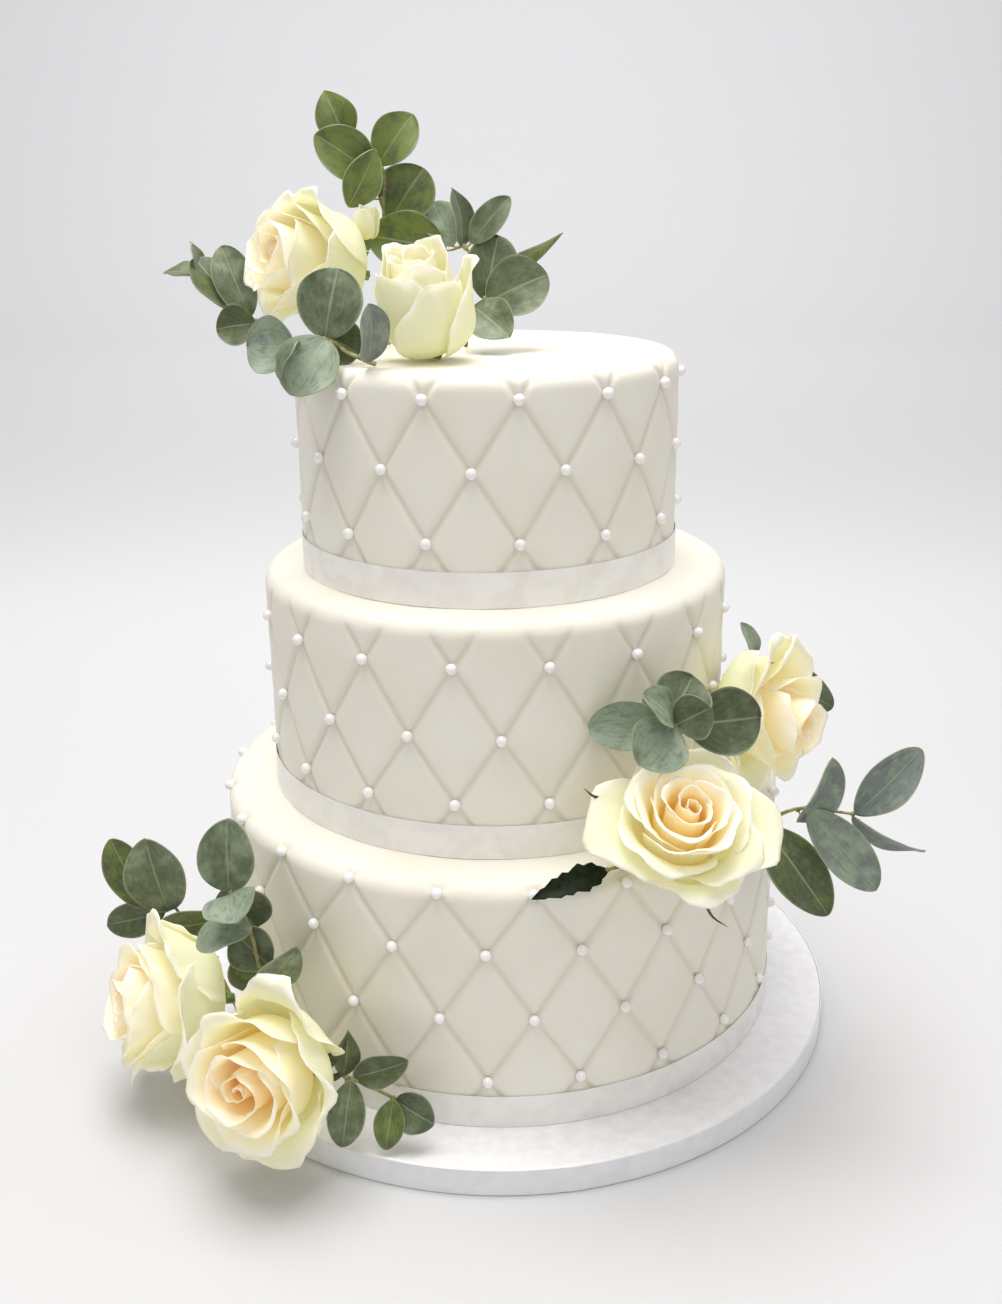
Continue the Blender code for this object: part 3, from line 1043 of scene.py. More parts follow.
    def build_pearls(self) -> bpy.types.Object:
        """One small ball, copied to every crossing of the grooves.

        Returns:
            All the tier's pearls as one piece.
        """
        deselect_all()
        bpy.ops.mesh.primitive_ico_sphere_add(subdivisions=2, radius=self.pearl_radius * MM)
        ball = name_new(self.node + "_pearl")
        pearls = []
        for row, above_base in enumerate(self.pearl_rows):
            height = self.base + above_base
            slope = float(self.slope_at(height))
            reach = self.radius - self.rim_rounding * (1 - math.cos(slope))
            lift = self.pearl_radius - self.pearl_sink - self.groove_depth * self.pearl_seat
            for column in range(self.columns):
                half_columns = 2 * column + row % 2
                turn = math.radians(self.first_column) + half_columns * math.pi / self.columns
                out = reach + lift * math.cos(slope)
                place = (
                    self.centre_x + out * math.sin(turn),
                    -out * math.cos(turn),
                    height + lift * math.sin(slope),
                )
                pearl = copy_mesh(ball, ball.name)
                pearl.data.transform(Matrix.Translation(Vector(place) * MM))
                pearls.append(pearl)
        bpy.data.objects.remove(ball)
        whole = join_pieces(pearls, self.node + "_pearls")
        shade_smooth(whole)
        return whole

    def build_ribbon(self) -> bpy.types.Object:
        """An open hoop with rows across it, eased in and out a little, then given thickness.

        Returns:
            The ribbon.
        """
        deselect_all()
        low = self.base - 0.1
        high = self.base + self.ribbon_width
        bpy.ops.mesh.primitive_cylinder_add(
            vertices=self.ribbon_segments,
            radius=(self.radius + self.ribbon_lift) * MM,
            depth=(high - low) * MM,
            end_fill_type="NOTHING",
            location=(0, 0, (high + low) / 2 * MM),
        )
        ribbon = name_new(self.node.replace("tier", "satin"))
        select_in_edit(ribbon, "EDGE", np.ones(len(ribbon.data.edges)))
        bpy.ops.mesh.select_non_manifold()
        bpy.ops.mesh.select_all(action="INVERT")
        bpy.ops.mesh.subdivide(number_cuts=self.ribbon_cuts)
        bpy.ops.object.mode_set(mode="OBJECT")
        places = read_places(ribbon) / MM
        _, reach = turn_and_reach(places)
        eased = np.array([noise.noise(Vector((p[0] / 14, p[1] / 14, p[2] / 9))) for p in places])
        places[:, :2] *= (1 + (self.ease + self.ease_change * eased) / reach)[:, None]
        places[:, 0] += self.centre_x
        write_places(ribbon, places * MM)
        finish_modifier(ribbon, "SOLIDIFY", thickness=self.ribbon_thickness * MM, offset=1.0)
        shade_smooth(ribbon, 50)
        return ribbon

    def make(
        self, fondant: bpy.types.Material, pearl: bpy.types.Material, satin: bpy.types.Material
    ) -> None:
        """Build and dress the tier, its pearls and its ribbon.

        Args:
            fondant: the paste's material.
            pearl: the pearls' material.
            satin: the ribbon's material.
        """
        paste = self.build_paste()
        self.press_quilting(paste)
        shade_smooth(paste, 60)
        hand_over(paste, fondant, "fondant", self.node)
        pearls = self.build_pearls()
        hand_over(pearls, pearl, "fondant", self.node)
        ribbon = self.build_ribbon()
        hand_over(ribbon, satin, "satin_ribbon", self.node.replace("tier", "ribbon"))


# Roses

GOLDEN_ANGLE = 137.5  # from each petal of a spiral to the next
PETAL_FOOT = 2.2  # millimetres from the bloom's axis
BOWL_STEPS = 14
WALL_STEPS = 15
LIP_STEPS = 14


@dataclass(frozen=True)
class Petal:
    """One petal of a bloom, in metres and radians in the bloom's own axes."""

    turn: float
    base_height: float
    belly: float
    belly_height: float
    lip_reach: float
    lip_height: float
    flare: float
    curl: float
    lip_length: float
    half_span: float
    droop: float
    tip: float
    tuck: float
    wave: float
    seed: float

    def side_line(self, curl: float) -> tuple[np.ndarray, np.ndarray]:
        """Reach and height from the calyx, round the belly, up the wall and over the lip.

        Args:
            curl: how far the lip rolls over, in radians.

        Returns:
            The reaches and the heights, in metres.
        """
        start = PETAL_FOOT * MM
        bowl = np.linspace(0, math.pi / 2, BOWL_STEPS)
        reach = [start + (self.belly - start) * np.sin(bowl)]
        rise = [self.base_height + (self.belly_height - self.base_height) * (1 - np.cos(bowl))]
        share = np.linspace(0, 1, WALL_STEPS + 1)[1:]
        wall = self.lip_height - self.belly_height
        reach.append(self.belly + (self.lip_reach - self.belly) * share**self.flare)
        rise.append(self.belly_height + wall * share)
        leaning = math.atan2(self.flare * (self.lip_reach - self.belly), wall)
        angles = leaning + np.arange(1, LIP_STEPS + 1) * (curl / LIP_STEPS)
        reach.append(reach[-1][-1] + np.cumsum(self.lip_length / LIP_STEPS * np.sin(angles)))
        rise.append(rise[-1][-1] + np.cumsum(self.lip_length / LIP_STEPS * np.cos(angles)))
        return np.concatenate(reach), np.concatenate(rise)

    def shape(self, across: np.ndarray, up: np.ndarray) -> np.ndarray:
        """Bend a flat sheet into the petal.

        Args:
            across: place across the petal, from -1 to 1.
            up: place up the petal, from 0 to 1.

        Returns:
            Points in the bloom's axes, which run across, across and up it.
        """
        # The sines are out of step with each other, so no two petals' lips wave alike.
        places = np.empty((len(up), 3))
        for column in np.unique(across):
            chosen = across == column
            # the lip rolls over most at the sides
            uneven = 0.8 + 0.5 * column**2 + 0.35 * math.sin(2.3 * column + self.seed)
            uneven += 0.2 * math.sin(5.9 * column - self.seed)
            reach_line, rise_line = self.side_line(max(0.1, self.curl * uneven))
            steps = np.hypot(np.diff(reach_line), np.diff(rise_line))
            run = np.concatenate([[0], np.cumsum(steps)])
            run /= run[-1]
            # the blade ends lower at its corners, with a point in the middle and a ragged edge
            full = 1 - self.tip - self.droop * abs(column) ** 2.6
            full += self.tip * math.exp(-((column / 0.30) ** 2))
            full += 0.010 * math.sin(11.0 * column + self.seed)
            full += 7.0 * self.wave * math.sin(21.0 * column + 3 * self.seed)
            high = up[chosen]
            place = high * full
            reach = np.interp(place, run, reach_line)
            height = np.interp(place, run, rise_line)
            # the foot is narrow, the blade is broad from half way up, and the lip draws in
            spread = (0.42 + 0.58 * smooth_step(high / 0.5)) * (1 - 0.10 * high**4)
            turn = self.turn + self.half_span * spread * column
            # one side tucks in under the next petal, and the lip waves, lifts and creases
            ripple = math.sin(column * 4.4 + self.seed)
            ripple += 0.6 * math.sin(column * 9.1 + 2.3 * self.seed)
            reach = reach * (1 + self.tuck * column) + self.wave * ripple * high**4
            reach = reach + 0.03 * self.belly * high * abs(column) ** 4
            height = height + 0.7 * self.wave * math.cos(column * 5.7 + 1.7 * self.seed) * high**3
            crease = math.sin(column * 17.0 + 5 * self.seed)
            crease = crease * np.sin(high * 8 + 3 * self.seed + 4 * column)
            reach = reach + 0.22 * self.wave * crease * high**2
            places[chosen] = np.column_stack([reach * np.cos(turn), reach * np.sin(turn), height])
        return places


@dataclass(frozen=True)
class Rose:
    """One bloom; millimetres, and openness from 0, a cup, to 1, a flat face."""

    node: str
    heart: Point
    axis: Point
    length: float
    radius: float
    openness: float
    stem: float
    petals: int = 30
    spin: float = 0.0
    seed: int = 1
    pallor: float = 0.0  # how far even its heart has lost the peach tint
    crowding: float = 0.9  # more than 1 packs more petals round the heart
    # how orange the youngest petals' feet are: partly the rose's own peach, partly painted warm
    # shade
    peach_and_shade: float = 0.5  # how orange its youngest petals are
    outer: tuple[tuple[float, float, float, float], ...] = ()  # turn, reach, rise and tip of each
    columns: int = 26
    rows: int = 26
    thickness: float = 0.28
    cup_share: float = 0.17  # the green cup's radius as a share of the bloom's
    sepal_share: float = 0.42
    sepal_width_share: float = 0.26
    stub_radius: float = 2.4

    def axes(self) -> Matrix:
        """The bloom's axes and base as a matrix.

        Returns:
            A matrix that mirrors, with the bloom's axis as its Z.
        """
        hint = Vector((0, 0, 1)) if abs(self.axis[2]) < 0.9 else Vector((0, -1, 0))
        along, side, face = axes_about(Vector(self.axis), hint)
        base = (Vector(self.heart) - along * self.length) * MM
        turned = Matrix((side, face, along)).transposed().to_4x4()
        return Matrix.Translation(base) @ turned

    def petal(self, number: int, chance: random.Random) -> Petal:
        """The petal of this number, counted from the heart outwards.

        Args:
            number: from 0 at the heart.
            chance: the bloom's own random draws.

        Returns:
            The petal.
        """
        # Each mix runs from the petals at the heart to the outermost ones.
        age = number / (self.petals - 1)
        full = self.radius * MM
        tall = self.length * MM
        opened = self.openness
        placed = number - (self.petals - len(self.outer))
        turn, stretch, rise, tip = (None, 1.0, 1.0, mix(0.0, 0.07, age))
        if placed >= 0:
            turn, stretch, rise, tip = self.outer[placed]
        else:
            turn = self.spin + number * GOLDEN_ANGLE + chance.uniform(-9, 9)
        lip_length = full * mix(0.09, 0.21, age)
        belly = full * (0.09 + mix(0.80, 0.56, opened) * age**self.crowding)
        closing = mix(0.66, mix(0.93, 1.08, opened), float(smooth_step(age / 0.4)))
        lip_reach = belly * closing + full * 0.17 * opened * age**1.5
        lip_height = tall * (1 - mix(0.14, 0.44, opened) * age**1.3)
        lip_height += tall * 0.03 * chance.uniform(-1, 1)
        lip_height -= lip_length * mix(0.9, 0.4, age)
        sunk = 0.16 * (1 - float(smooth_step(age / 0.28)))
        curl = math.radians(mix(12, mix(70, 120, opened), age**0.8)) * chance.uniform(0.75, 1.3)
        return Petal(
            turn=math.radians(turn),
            base_height=tall * mix(0.20, 0.03, age),
            belly=belly,
            belly_height=tall * mix(0.50, 0.33, age),
            lip_reach=lip_reach * stretch,
            lip_height=lip_height * rise * (1 - sunk),
            flare=mix(1.2, 1.8, age),
            curl=curl,
            lip_length=lip_length,
            half_span=mix(2.3, 1.16, age**0.6),
            droop=mix(0.06, 0.34, age),
            tip=tip,
            tuck=mix(0.22, 0.10, age),
            wave=mix(0.2, 2.0, age**1.1) * MM * self.radius / 38,
            seed=chance.uniform(0, 6.3),
        )

    def build_bloom(self) -> bpy.types.Object:
        """Bend copies of one flat sheet into petals, and give them thickness.

        Returns:
            All the petals as one piece.
        """
        deselect_all()
        bpy.ops.mesh.primitive_grid_add(
            x_subdivisions=self.columns, y_subdivisions=self.rows, size=2
        )
        sheet = name_new(self.node + "_petal")
        flat = read_places(sheet)
        across, up = flat[:, 0], (flat[:, 1] + 1) / 2
        chance = random.Random(self.seed)
        petals = []
        for number in range(self.petals):
            shape = self.petal(number, chance).shape(across, up)
            piece = copy_mesh(sheet, sheet.name)
            write_places(piece, shape)
            age = mix(self.pallor, 1.0, number / (self.petals - 1))
            write_attribute(piece, "petal_age", np.full(len(up), age))
            write_attribute(piece, "petal_rise", up)
            write_attribute(piece, "petal_peach_and_shade", np.full(len(up), self.peach_and_shade))
            write_attribute(piece, "petal_chance", np.full(len(up), chance.random()))
            petals.append(piece)
        bpy.data.objects.remove(sheet)
        bloom = join_pieces(petals, self.node + "_bloom")
        bloom.data.transform(self.axes())
        finish_modifier(bloom, "SOLIDIFY", thickness=self.thickness * MM, offset=0.0)
        shade_smooth(bloom)
        return bloom

    def build_calyx(self) -> bpy.types.Object:
        """The green cup under the petals, its five sepals and the stalk's stub.

        Returns:
            The calyx.
        """
        deselect_all()
        girth = self.radius * self.cup_share * MM
        bpy.ops.mesh.primitive_uv_sphere_add(
            segments=20, ring_count=12, radius=girth, scale=(1, 1, 0.8)
        )
        cup = name_new(self.node + "_cup")
        cup.data.transform(Matrix.Translation((0, 0, girth * 0.75)))
        ends = [Vector((0, 0, -max(self.stem, 1.0) * MM)), Vector((0, 0, girth * 0.4))]
        radii = [self.stub_radius * MM, (self.stub_radius + 0.2) * MM]
        parts = [cup, tube_along(ends, radii, "stub")]
        reach = self.radius * self.sepal_share * MM
        sepal_width = self.radius * self.sepal_width_share
        for number in range(5):
            turn = number * 2 * math.pi / 5
            out = Vector((math.cos(turn), math.sin(turn), 0))
            leaf = Leaf((0, 0, 0), (reach / MM, 0, 0), sepal_width, form=LeafForm.LANCE)
            blade = leaf.build_blade("sepal", columns=6, rows=12, facing=Vector((0, 0, 1)))
            places = read_places(blade)
            along = np.clip(places[:, 0] / reach, 0, 1)
            rise = girth * 0.20 + reach * 0.12 * along**2
            outwards = places[:, 0] * 0.85 + girth * 0.6
            write_places(blade, np.column_stack([outwards, places[:, 1], places[:, 2] + rise]))
            blade.data.transform(Matrix.Rotation(math.atan2(out.y, out.x), 4, "Z"))
            parts.append(blade)
        calyx = join_pieces(parts, self.node + "_calyx")
        calyx.data.transform(self.axes())
        select_in_edit(calyx, "FACE", np.ones(len(calyx.data.polygons)))
        bpy.ops.mesh.flip_normals()  # because the bloom's axes mirror what they turn
        bpy.ops.object.mode_set(mode="OBJECT")
        shade_smooth(calyx, 60)
        return calyx

    def make(self, petal: bpy.types.Material, green: bpy.types.Material) -> None:
        """Build and dress the bloom and its calyx.

        Args:
            petal: the petals' material.
            green: the calyx's material.
        """
        bloom = self.build_bloom()
        hand_over(bloom, petal, "rose_petal", self.node)
        calyx = self.build_calyx()
        hand_over(calyx, green, "rose_petal", self.node)


# Leaves


class LeafForm(Enum):
    """The outline of a leaf: how far along it is widest, and how blunt its foot and tip are."""

    ROUND = (0.52, 0.50, 0.50)
    OVAL = (0.48, 0.60, 0.56)
    POINTED = (0.42, 0.62, 0.78)
    LANCE = (0.38, 0.75, 0.95)
    SERRATED = (0.40, 0.70, 0.90)

    def half_width(self, share: np.ndarray) -> np.ndarray:
        """Half of the leaf's width along its length, as a share of half its full width.

        Args:
            share: places along the leaf, from 0 to 1.

        Returns:
            The shares, from 0 to 1.
        """
        widest, foot, tip = self.value
        near = np.sin(np.pi / 2 * np.clip(share / widest, 0, 1)) ** foot
        far = np.cos(np.pi / 2 * np.clip((share - widest) / (1 - widest), 0, 1)) ** tip
        width = np.where(share < widest, near, far)
        if self is LeafForm.SERRATED:
            width = width * (1 - 0.34 * ((share * 6.0) % 1.0))
        return width


@dataclass(frozen=True)
class Leaf:
    """One leaf from its stalk's end to its tip, in millimetres; turn is about its length."""

    base: Point
    tip: Point
    width: float
    turn: float = 0.0
    form: LeafForm = LeafForm.ROUND
    # the tone also paints each leaf's light and shade: darker or paler steps for shaded and lit
    # leaves
    tone: float = 0.6  # 0 olive green, 1 blue grey
    cup: float = 0.14
    bend: float = 0.07
    thickness: float = 0.45
    ripple: float = 0.035  # of its width, at its edges

    def build_blade(
        self,
        name: str,
        columns: int = 14,
        rows: int = 22,
        facing: Vector = Vector((0, -0.94, 0.33)),
    ) -> bpy.types.Object:
        """Bend a flat grid into the leaf's outline, cup and bow, and give it thickness.

        Args:
            name: the blade's name.
            columns: faces across it.
            rows: faces along it.
            facing: the way that its upper side should nearly face.

        Returns:
            The blade.
        """
        deselect_all()
        bpy.ops.mesh.primitive_grid_add(x_subdivisions=columns, y_subdivisions=rows, size=2)
        blade = name_new(name)
        flat = read_places(blade)
        across, along = flat[:, 0], (flat[:, 1] + 1) / 2
        along = 0.5 - 0.5 * np.cos(np.pi * along)  # finer at the foot and the tip
        run = (Vector(self.tip) - Vector(self.base)) * MM
        ahead, side, face = axes_about(run, facing)
        turned = Matrix.Rotation(math.radians(self.turn), 3, ahead)
        side, face = turned @ side, turned @ face
        half = self.form.half_width(along) * self.width * MM / 2
        lift = self.cup * 2 * half * np.abs(across) ** 1.6
        phase = self.base[0] * 0.7 + self.tip[2] * 0.3  # its own for each leaf
        ripple = self.ripple * self.width * MM * np.abs(across) ** 3
        ripple = ripple * np.sin(along * 9 + phase + 1.5 * across)
        bow = self.bend * run.length * np.sin(np.pi * along)
        out = lift + bow + ripple
        places = (
            np.array(self.base) * MM
            + np.outer(along * run.length, ahead)
            + np.outer(across * half, side)
            + np.outer(out, face)
        )
        write_places(blade, places)
        write_attribute(blade, "leaf_tone", np.full(len(places), self.tone))
        finish_modifier(blade, "SOLIDIFY", thickness=self.thickness * MM, offset=0.0)
        return blade


@dataclass(frozen=True)
class Sprig:
    """A stem, as points in millimetres from its foot, with its leaves."""

    node: str
    stem: tuple[Point, ...]
    leaves: tuple[Leaf, ...]
    stem_radius: float = 0.9
    foot_share: float = 1.1  # the stem's radius at its foot and at its end, as shares
    end_share: float = 0.75
    inside_leaf: float = 0.10  # how far the stalk runs on into the leaf
    stalk_radii: tuple[float, ...] = (0.55, 0.45, 0.2)
    knuckle_radius: float = 1.15
    short_stalk: float = 0.8
    same_joint: float = 0.5  # stalks whose feet are nearer than this share one knuckle

    def nearest_on_stem(self, place: Vector) -> Vector:
        """The point of the stem that is nearest a place, in metres.

        Args:
            place: where, in metres.

        Returns:
            The nearest point, in metres.
        """
        route = [Vector(point) * MM for point in self.stem]
        best = route[0]
        for start, end in zip(route, route[1:]):
            run = end - start
            share = min(1.0, max(0.0, (place - start).dot(run) / run.length_squared))
            point = start + run * share
            if (point - place).length < (best - place).length:
                best = point
        return best

    def build_stems(self) -> bpy.types.Object:
        """The main stem and a stalk to each leaf, with a small knuckle where they meet.

        Returns:
            All the stems as one piece.
        """
        route = [Vector(point) * MM for point in self.stem]
        shares = [i / (len(route) - 1) for i in range(len(route))]
        thins = [
            mix(self.foot_share, self.end_share, share) * self.stem_radius * MM for share in shares
        ]
        parts = [tube_along(route, thins, "stem")]
        joints: list[Vector] = []
        for leaf in self.leaves:
            foot = Vector(leaf.base) * MM
            joint = self.nearest_on_stem(foot)
            blade = Vector(leaf.tip) - Vector(leaf.base)
            run = blade.normalized()
            inside = foot + run * (self.inside_leaf * blade.length * MM)
            stalk = [joint, foot, inside]
            if (joint - foot).length < self.short_stalk * MM or (foot - joint).dot(run) < 0:
                stalk = [joint, inside]
            radii = [radius * MM for radius in self.stalk_radii]
            parts.append(tube_along(stalk, radii[-len(stalk) :], "stalk"))
            if any((joint - other).length < self.same_joint * MM for other in joints):
                continue
            joints.append(joint)
            deselect_all()
            bpy.ops.mesh.primitive_ico_sphere_add(
                subdivisions=2, radius=self.knuckle_radius * MM, location=joint
            )
            parts.append(name_new("knuckle"))
        stems = join_pieces(parts, self.node + "_stems")
        shade_smooth(stems, 60)
        return stems

    def make(self, blade: bpy.types.Material, stalk: bpy.types.Material, slot: str) -> None:
        """Build and dress the leaves and the stems.

        Args:
            blade: the leaves' material.
            stalk: the stems' material.
            slot: a name for the leaves' material, passed on with them.
        """
        blades = [leaf.build_blade(self.node + "_blade") for leaf in self.leaves]
        leaves = join_pieces(blades, self.node + "_leaves")
        shade_smooth(leaves, 60)
        hand_over(leaves, blade, slot, self.node)
        stems = self.build_stems()
        hand_over(stems, stalk, slot, self.node)


@dataclass(frozen=True)
class Sepal:
    """A green sepal that has curled away from its bloom: its route in millimetres and its width."""

    node: str
    route: tuple[Point, ...]
    width: float
    tip_share: float = 0.07  # of its width that is left at the tip
    flatness: float = 0.35

    def make(self, green: bpy.types.Material) -> None:
        """Build the sepal as a tube along its route, pressed flat, and dress it.

        Args:
            green: the sepal's material.
        """
        places = [Vector(point) * MM for point in self.route]
        half = self.width / 2 * MM
        shares = [i / (len(places) - 1) for i in range(len(places))]
        radii = [half * (1 - (1 - self.tip_share) * share**1.5) for share in shares]
        sepal = tube_along(places, radii, self.node + "_sepal")
        ahead = (places[-1] - places[0]).normalized()
        flat = ahead.cross(Vector((0, 0, 1))).normalized()
        middle = sum(places, Vector()) / len(places)
        about = Matrix.Translation(middle)
        sepal.data.transform(about @ Matrix.Scale(self.flatness, 4, flat) @ about.inverted())
        shade_smooth(sepal, 60)
        hand_over(sepal, green, "rose_petal", self.node)


# Studio


@dataclass(frozen=True)
class SoftBox:
    """A large square soft light that the camera doesn't see; metres, watts and degrees."""

    name: str
    place: Point
    aim: Point
    size: float
    power: float
    tint: str
    spread: float = 180.0

    def make(self) -> None:
        """Hang the lamp and turn it to its aim."""
        data = bpy.data.lights.new(self.name, "AREA")
        data.size = self.size
        data.energy = self.power
        data.spread = math.radians(self.spread)
        data.color = linear(self.tint)[:3]
        lamp = bpy.data.objects.new(self.name, data)
        lamp.location = self.place
        lamp.rotation_mode = "QUATERNION"
        aimed = Vector(self.aim) - Vector(self.place)
        lamp.rotation_quaternion = aimed.to_track_quat("-Z", "Y")
        lamp.visible_camera = False
        bpy.context.scene.collection.objects.link(lamp)


LIGHTS = (
    SoftBox("top_softbox", (-0.10, 0.05, 1.5), (0, 0, 0.15), 1.1, power=23.5, tint="#FFFDFB"),
    SoftBox("front_fill", (0.5, -1.5, 0.9), (0, 0, 0.18), 1.2, power=3.0, tint="#FFFDFA"),
    SoftBox("backdrop_wash", (0, 2.0, 2.8), (0, 4.2, 0.5), 2.4, 33.0, "#FFFFFF", spread=130.0),
)


@dataclass(frozen=True)
class Studio:
    """Floor, lights and camera; the camera was fitted to the photograph."""

    camera_back: float = 0.614
    camera_height: float = 0.394
    pitch: float = 19.18
    roll: float = 0.68
    focal_pixels: float = 1364.0
    picture_height: float = 1304.0
    floor_reach: float = 3.1
    sweep_radius: float = 1.6
    sweep_steps: int = 8
    floor_segments: int = 96
    sky_tint: str = "#F5F5F7"
    sky_strength: float = 0.55

    def make_camera(self) -> None:
        """The camera at the photograph's viewing angle."""
        data = bpy.data.cameras.new("camera")
        data.sensor_width = 36.0
        data.lens = 36.0 * self.focal_pixels / self.picture_height
        camera = bpy.data.objects.new("camera", data)
        pitch, roll = math.radians(self.pitch), math.radians(-self.roll)
        right = Vector((1, 0, 0))
        ahead = Vector((0, math.cos(pitch), -math.sin(pitch)))
        up = right.cross(ahead)
        turned_right = right * math.cos(roll) + up * math.sin(roll)
        turned_up = up * math.cos(roll) - right * math.sin(roll)
        turned = Matrix((turned_right, turned_up, -ahead)).transposed().to_4x4()
        place = Matrix.Translation((0, -self.camera_back, self.camera_height))
        camera.matrix_world = place @ turned
        bpy.context.scene.collection.objects.link(camera)
        bpy.context.scene.camera = camera

    def make_floor(self, paper: bpy.types.Material) -> None:
        """A wide paper floor whose far edge sweeps up on every side.

        Args:
            paper: the floor's material.
        """
        deselect_all()
        bpy.ops.mesh.primitive_circle_add(
            vertices=self.floor_segments, radius=self.floor_reach, fill_type="NOTHING"
        )
        floor = name_new("paper_sweep")
        select_in_edit(floor, "EDGE", np.ones(len(floor.data.edges)))
        reach, height = self.floor_reach, 0.0
        for step in range(1, self.sweep_steps + 1):
            slope = math.pi / 2 * step / self.sweep_steps
            next_reach = self.floor_reach + self.sweep_radius * math.sin(slope)
            next_height = self.sweep_radius * (1 - math.cos(slope))
            bpy.ops.mesh.extrude_region_move(
                TRANSFORM_OT_translate={"value": (0, 0, next_height - height)}
            )
            grown = next_reach / reach
            bpy.ops.transform.resize(value=(grown, grown, 1), center_override=(0, 0, 0))
            reach, height = next_reach, next_height
        bpy.ops.object.mode_set(mode="OBJECT")
        low_ring = read_places(floor)[:, 2] < LEVEL
        select_in_edit(floor, "VERT", low_ring)
        bpy.ops.mesh.edge_face_add()
        bpy.ops.object.mode_set(mode="OBJECT")
        shade_smooth(floor, 60)
        dress(floor, paper)

    def make_world(self) -> None:
        """Even pale light from all round."""
        world = bpy.data.worlds.new("soft_studio")
        world.use_nodes = True
        backdrop = world.node_tree.nodes["Background"]
        backdrop.inputs["Color"].default_value = linear(self.sky_tint)
        backdrop.inputs["Strength"].default_value = self.sky_strength
        bpy.context.scene.world = world

    def make(self) -> None:
        """Set up the whole studio."""
        self.make_camera()
        self.make_world()
        self.make_floor(StudioPaper().material())
        for light in LIGHTS:
            light.make()
        bpy.context.scene.view_settings.view_transform = "Standard"


# The cake


TIERS = (
    QuiltedTier("tier_bottom", 132.0, 0.0, 12.8, 126.0, 21, -3.33, (22.2, 52.0, 83.2, 109.8), 5.0),
    QuiltedTier("tier_middle", 106.0, -2.2, 126.3, 228.5, 17, -9.5, (24.1, 52.9, 83.6), 16.0),
    QuiltedTier("tier_top", 85.0, -4.9, 228.8, 322.5, 14, -16.9, (26.3, 55.3, 84.0), 12.0),
)

ROSES = (
    Rose(
        "rose_top_left", (-100, -26, 368), (-0.77, -0.58, 0.25),
        50, 32, 0.6, 6.0, 17, 20, 3, 0.08, 0.9, 0.3,
        outer=(
            (250, 1.0, 1.0, 0.06),
            (60, 0.9, 1.0, 0.1),
            (300, 1.0, 0.92, 0.05),
            (110, 1.0, 1.05, 0.1),
            (185, 1.05, 0.95, 0.1),
        ),
    ),
    Rose(
        "rose_top_right", (-33, -51, 369), (-0.12, -0.38, 0.92),
        48, 23, 0.0, 1.0, 13, 200, 5, 0.55, 0.9, 0.0,
        outer=(
            (230, 1.0, 1.02, 0.05),
            (130, 1.0, 0.97, 0.04),
            (60, 1.0, 0.86, 0.03),
            (5, 1.1, 0.97, 0.12),
        ),
    ),
    Rose(
        "rose_middle_front", (74, -137, 168), (0.07, -0.58, 0.82),
        38, 38, 1.0, 4.0, 20, 60, 7, 0.0, 1.0, 0.1,
        outer=(
            (262, 0.95, 1.12, 0.02),
            (30, 0.95, 1.0, 0.05),
            (150, 0.95, 1.0, 0.05),
            (310, 1.0, 0.97, 0.06),
            (215, 1.0, 0.95, 0.08),
            (90, 1.0, 1.0, 0.05),
            (350, 1.14, 0.92, 0.06),
            (185, 1.04, 0.92, 0.06),
            (265, 0.86, 0.86, 0.06),
        ),
    ),
    Rose(
        "rose_middle_back", (138, -68, 168), (0.82, -0.57, -0.02),
        48, 37, 0.75, 1.0, 14, 10, 9, 0.05,
        outer=(
            (200, 1.0, 1.0, 0.1),
            (140, 1.1, 1.0, 0.08),
            (270, 1.0, 0.95, 0.08),
            (330, 1.0, 0.95, 0.05),
            (112, 1.16, 0.92, 0.03),
            (68, 1.14, 0.92, 0.04),
            (300, 1.2, 0.82, 0.08),
            (20, 1.08, 0.93, 0.04),
        ),
    ),
    Rose(
        "rose_lower_left", (-174, -101, 57), (-0.86, -0.43, 0.28),
        52, 41, 0.6, 6.0, 18, 40, 11, 0.0, 0.9, 1.0,
        outer=(
            (240, 1.0, 0.95, 0.08),
            (30, 1.12, 0.85, 0.08),
            (300, 1.15, 0.8, 0.1),
            (90, 1.0, 1.08, 0.14),
            (170, 1.05, 0.88, 0.1),
        ),
    ),
    Rose(
        "rose_lower_front", (-109, -170, 56), (-0.42, -0.89, 0.15),
        46, 42, 0.8, 6.0, 17, 100, 13, 0.0, 0.9, 1.0,
        outer=(
            (190, 0.90, 1.0, 0.05),
            (60, 0.95, 1.05, 0.08),
            (350, 0.95, 0.95, 0.08),
            (298, 1.12, 0.88, 0.12),
            (256, 1.06, 0.82, 0.08),
            (166, 0.84, 0.9, 0.08),
            (100, 1.04, 1.0, 0.20),
        ),
    ),
    Rose("rose_bud", (-54, -3, 384), (0.15, -0.1, 0.98), 15, 6.5, 0.0, 4.0, 7, 0, 15, 0.6),
)

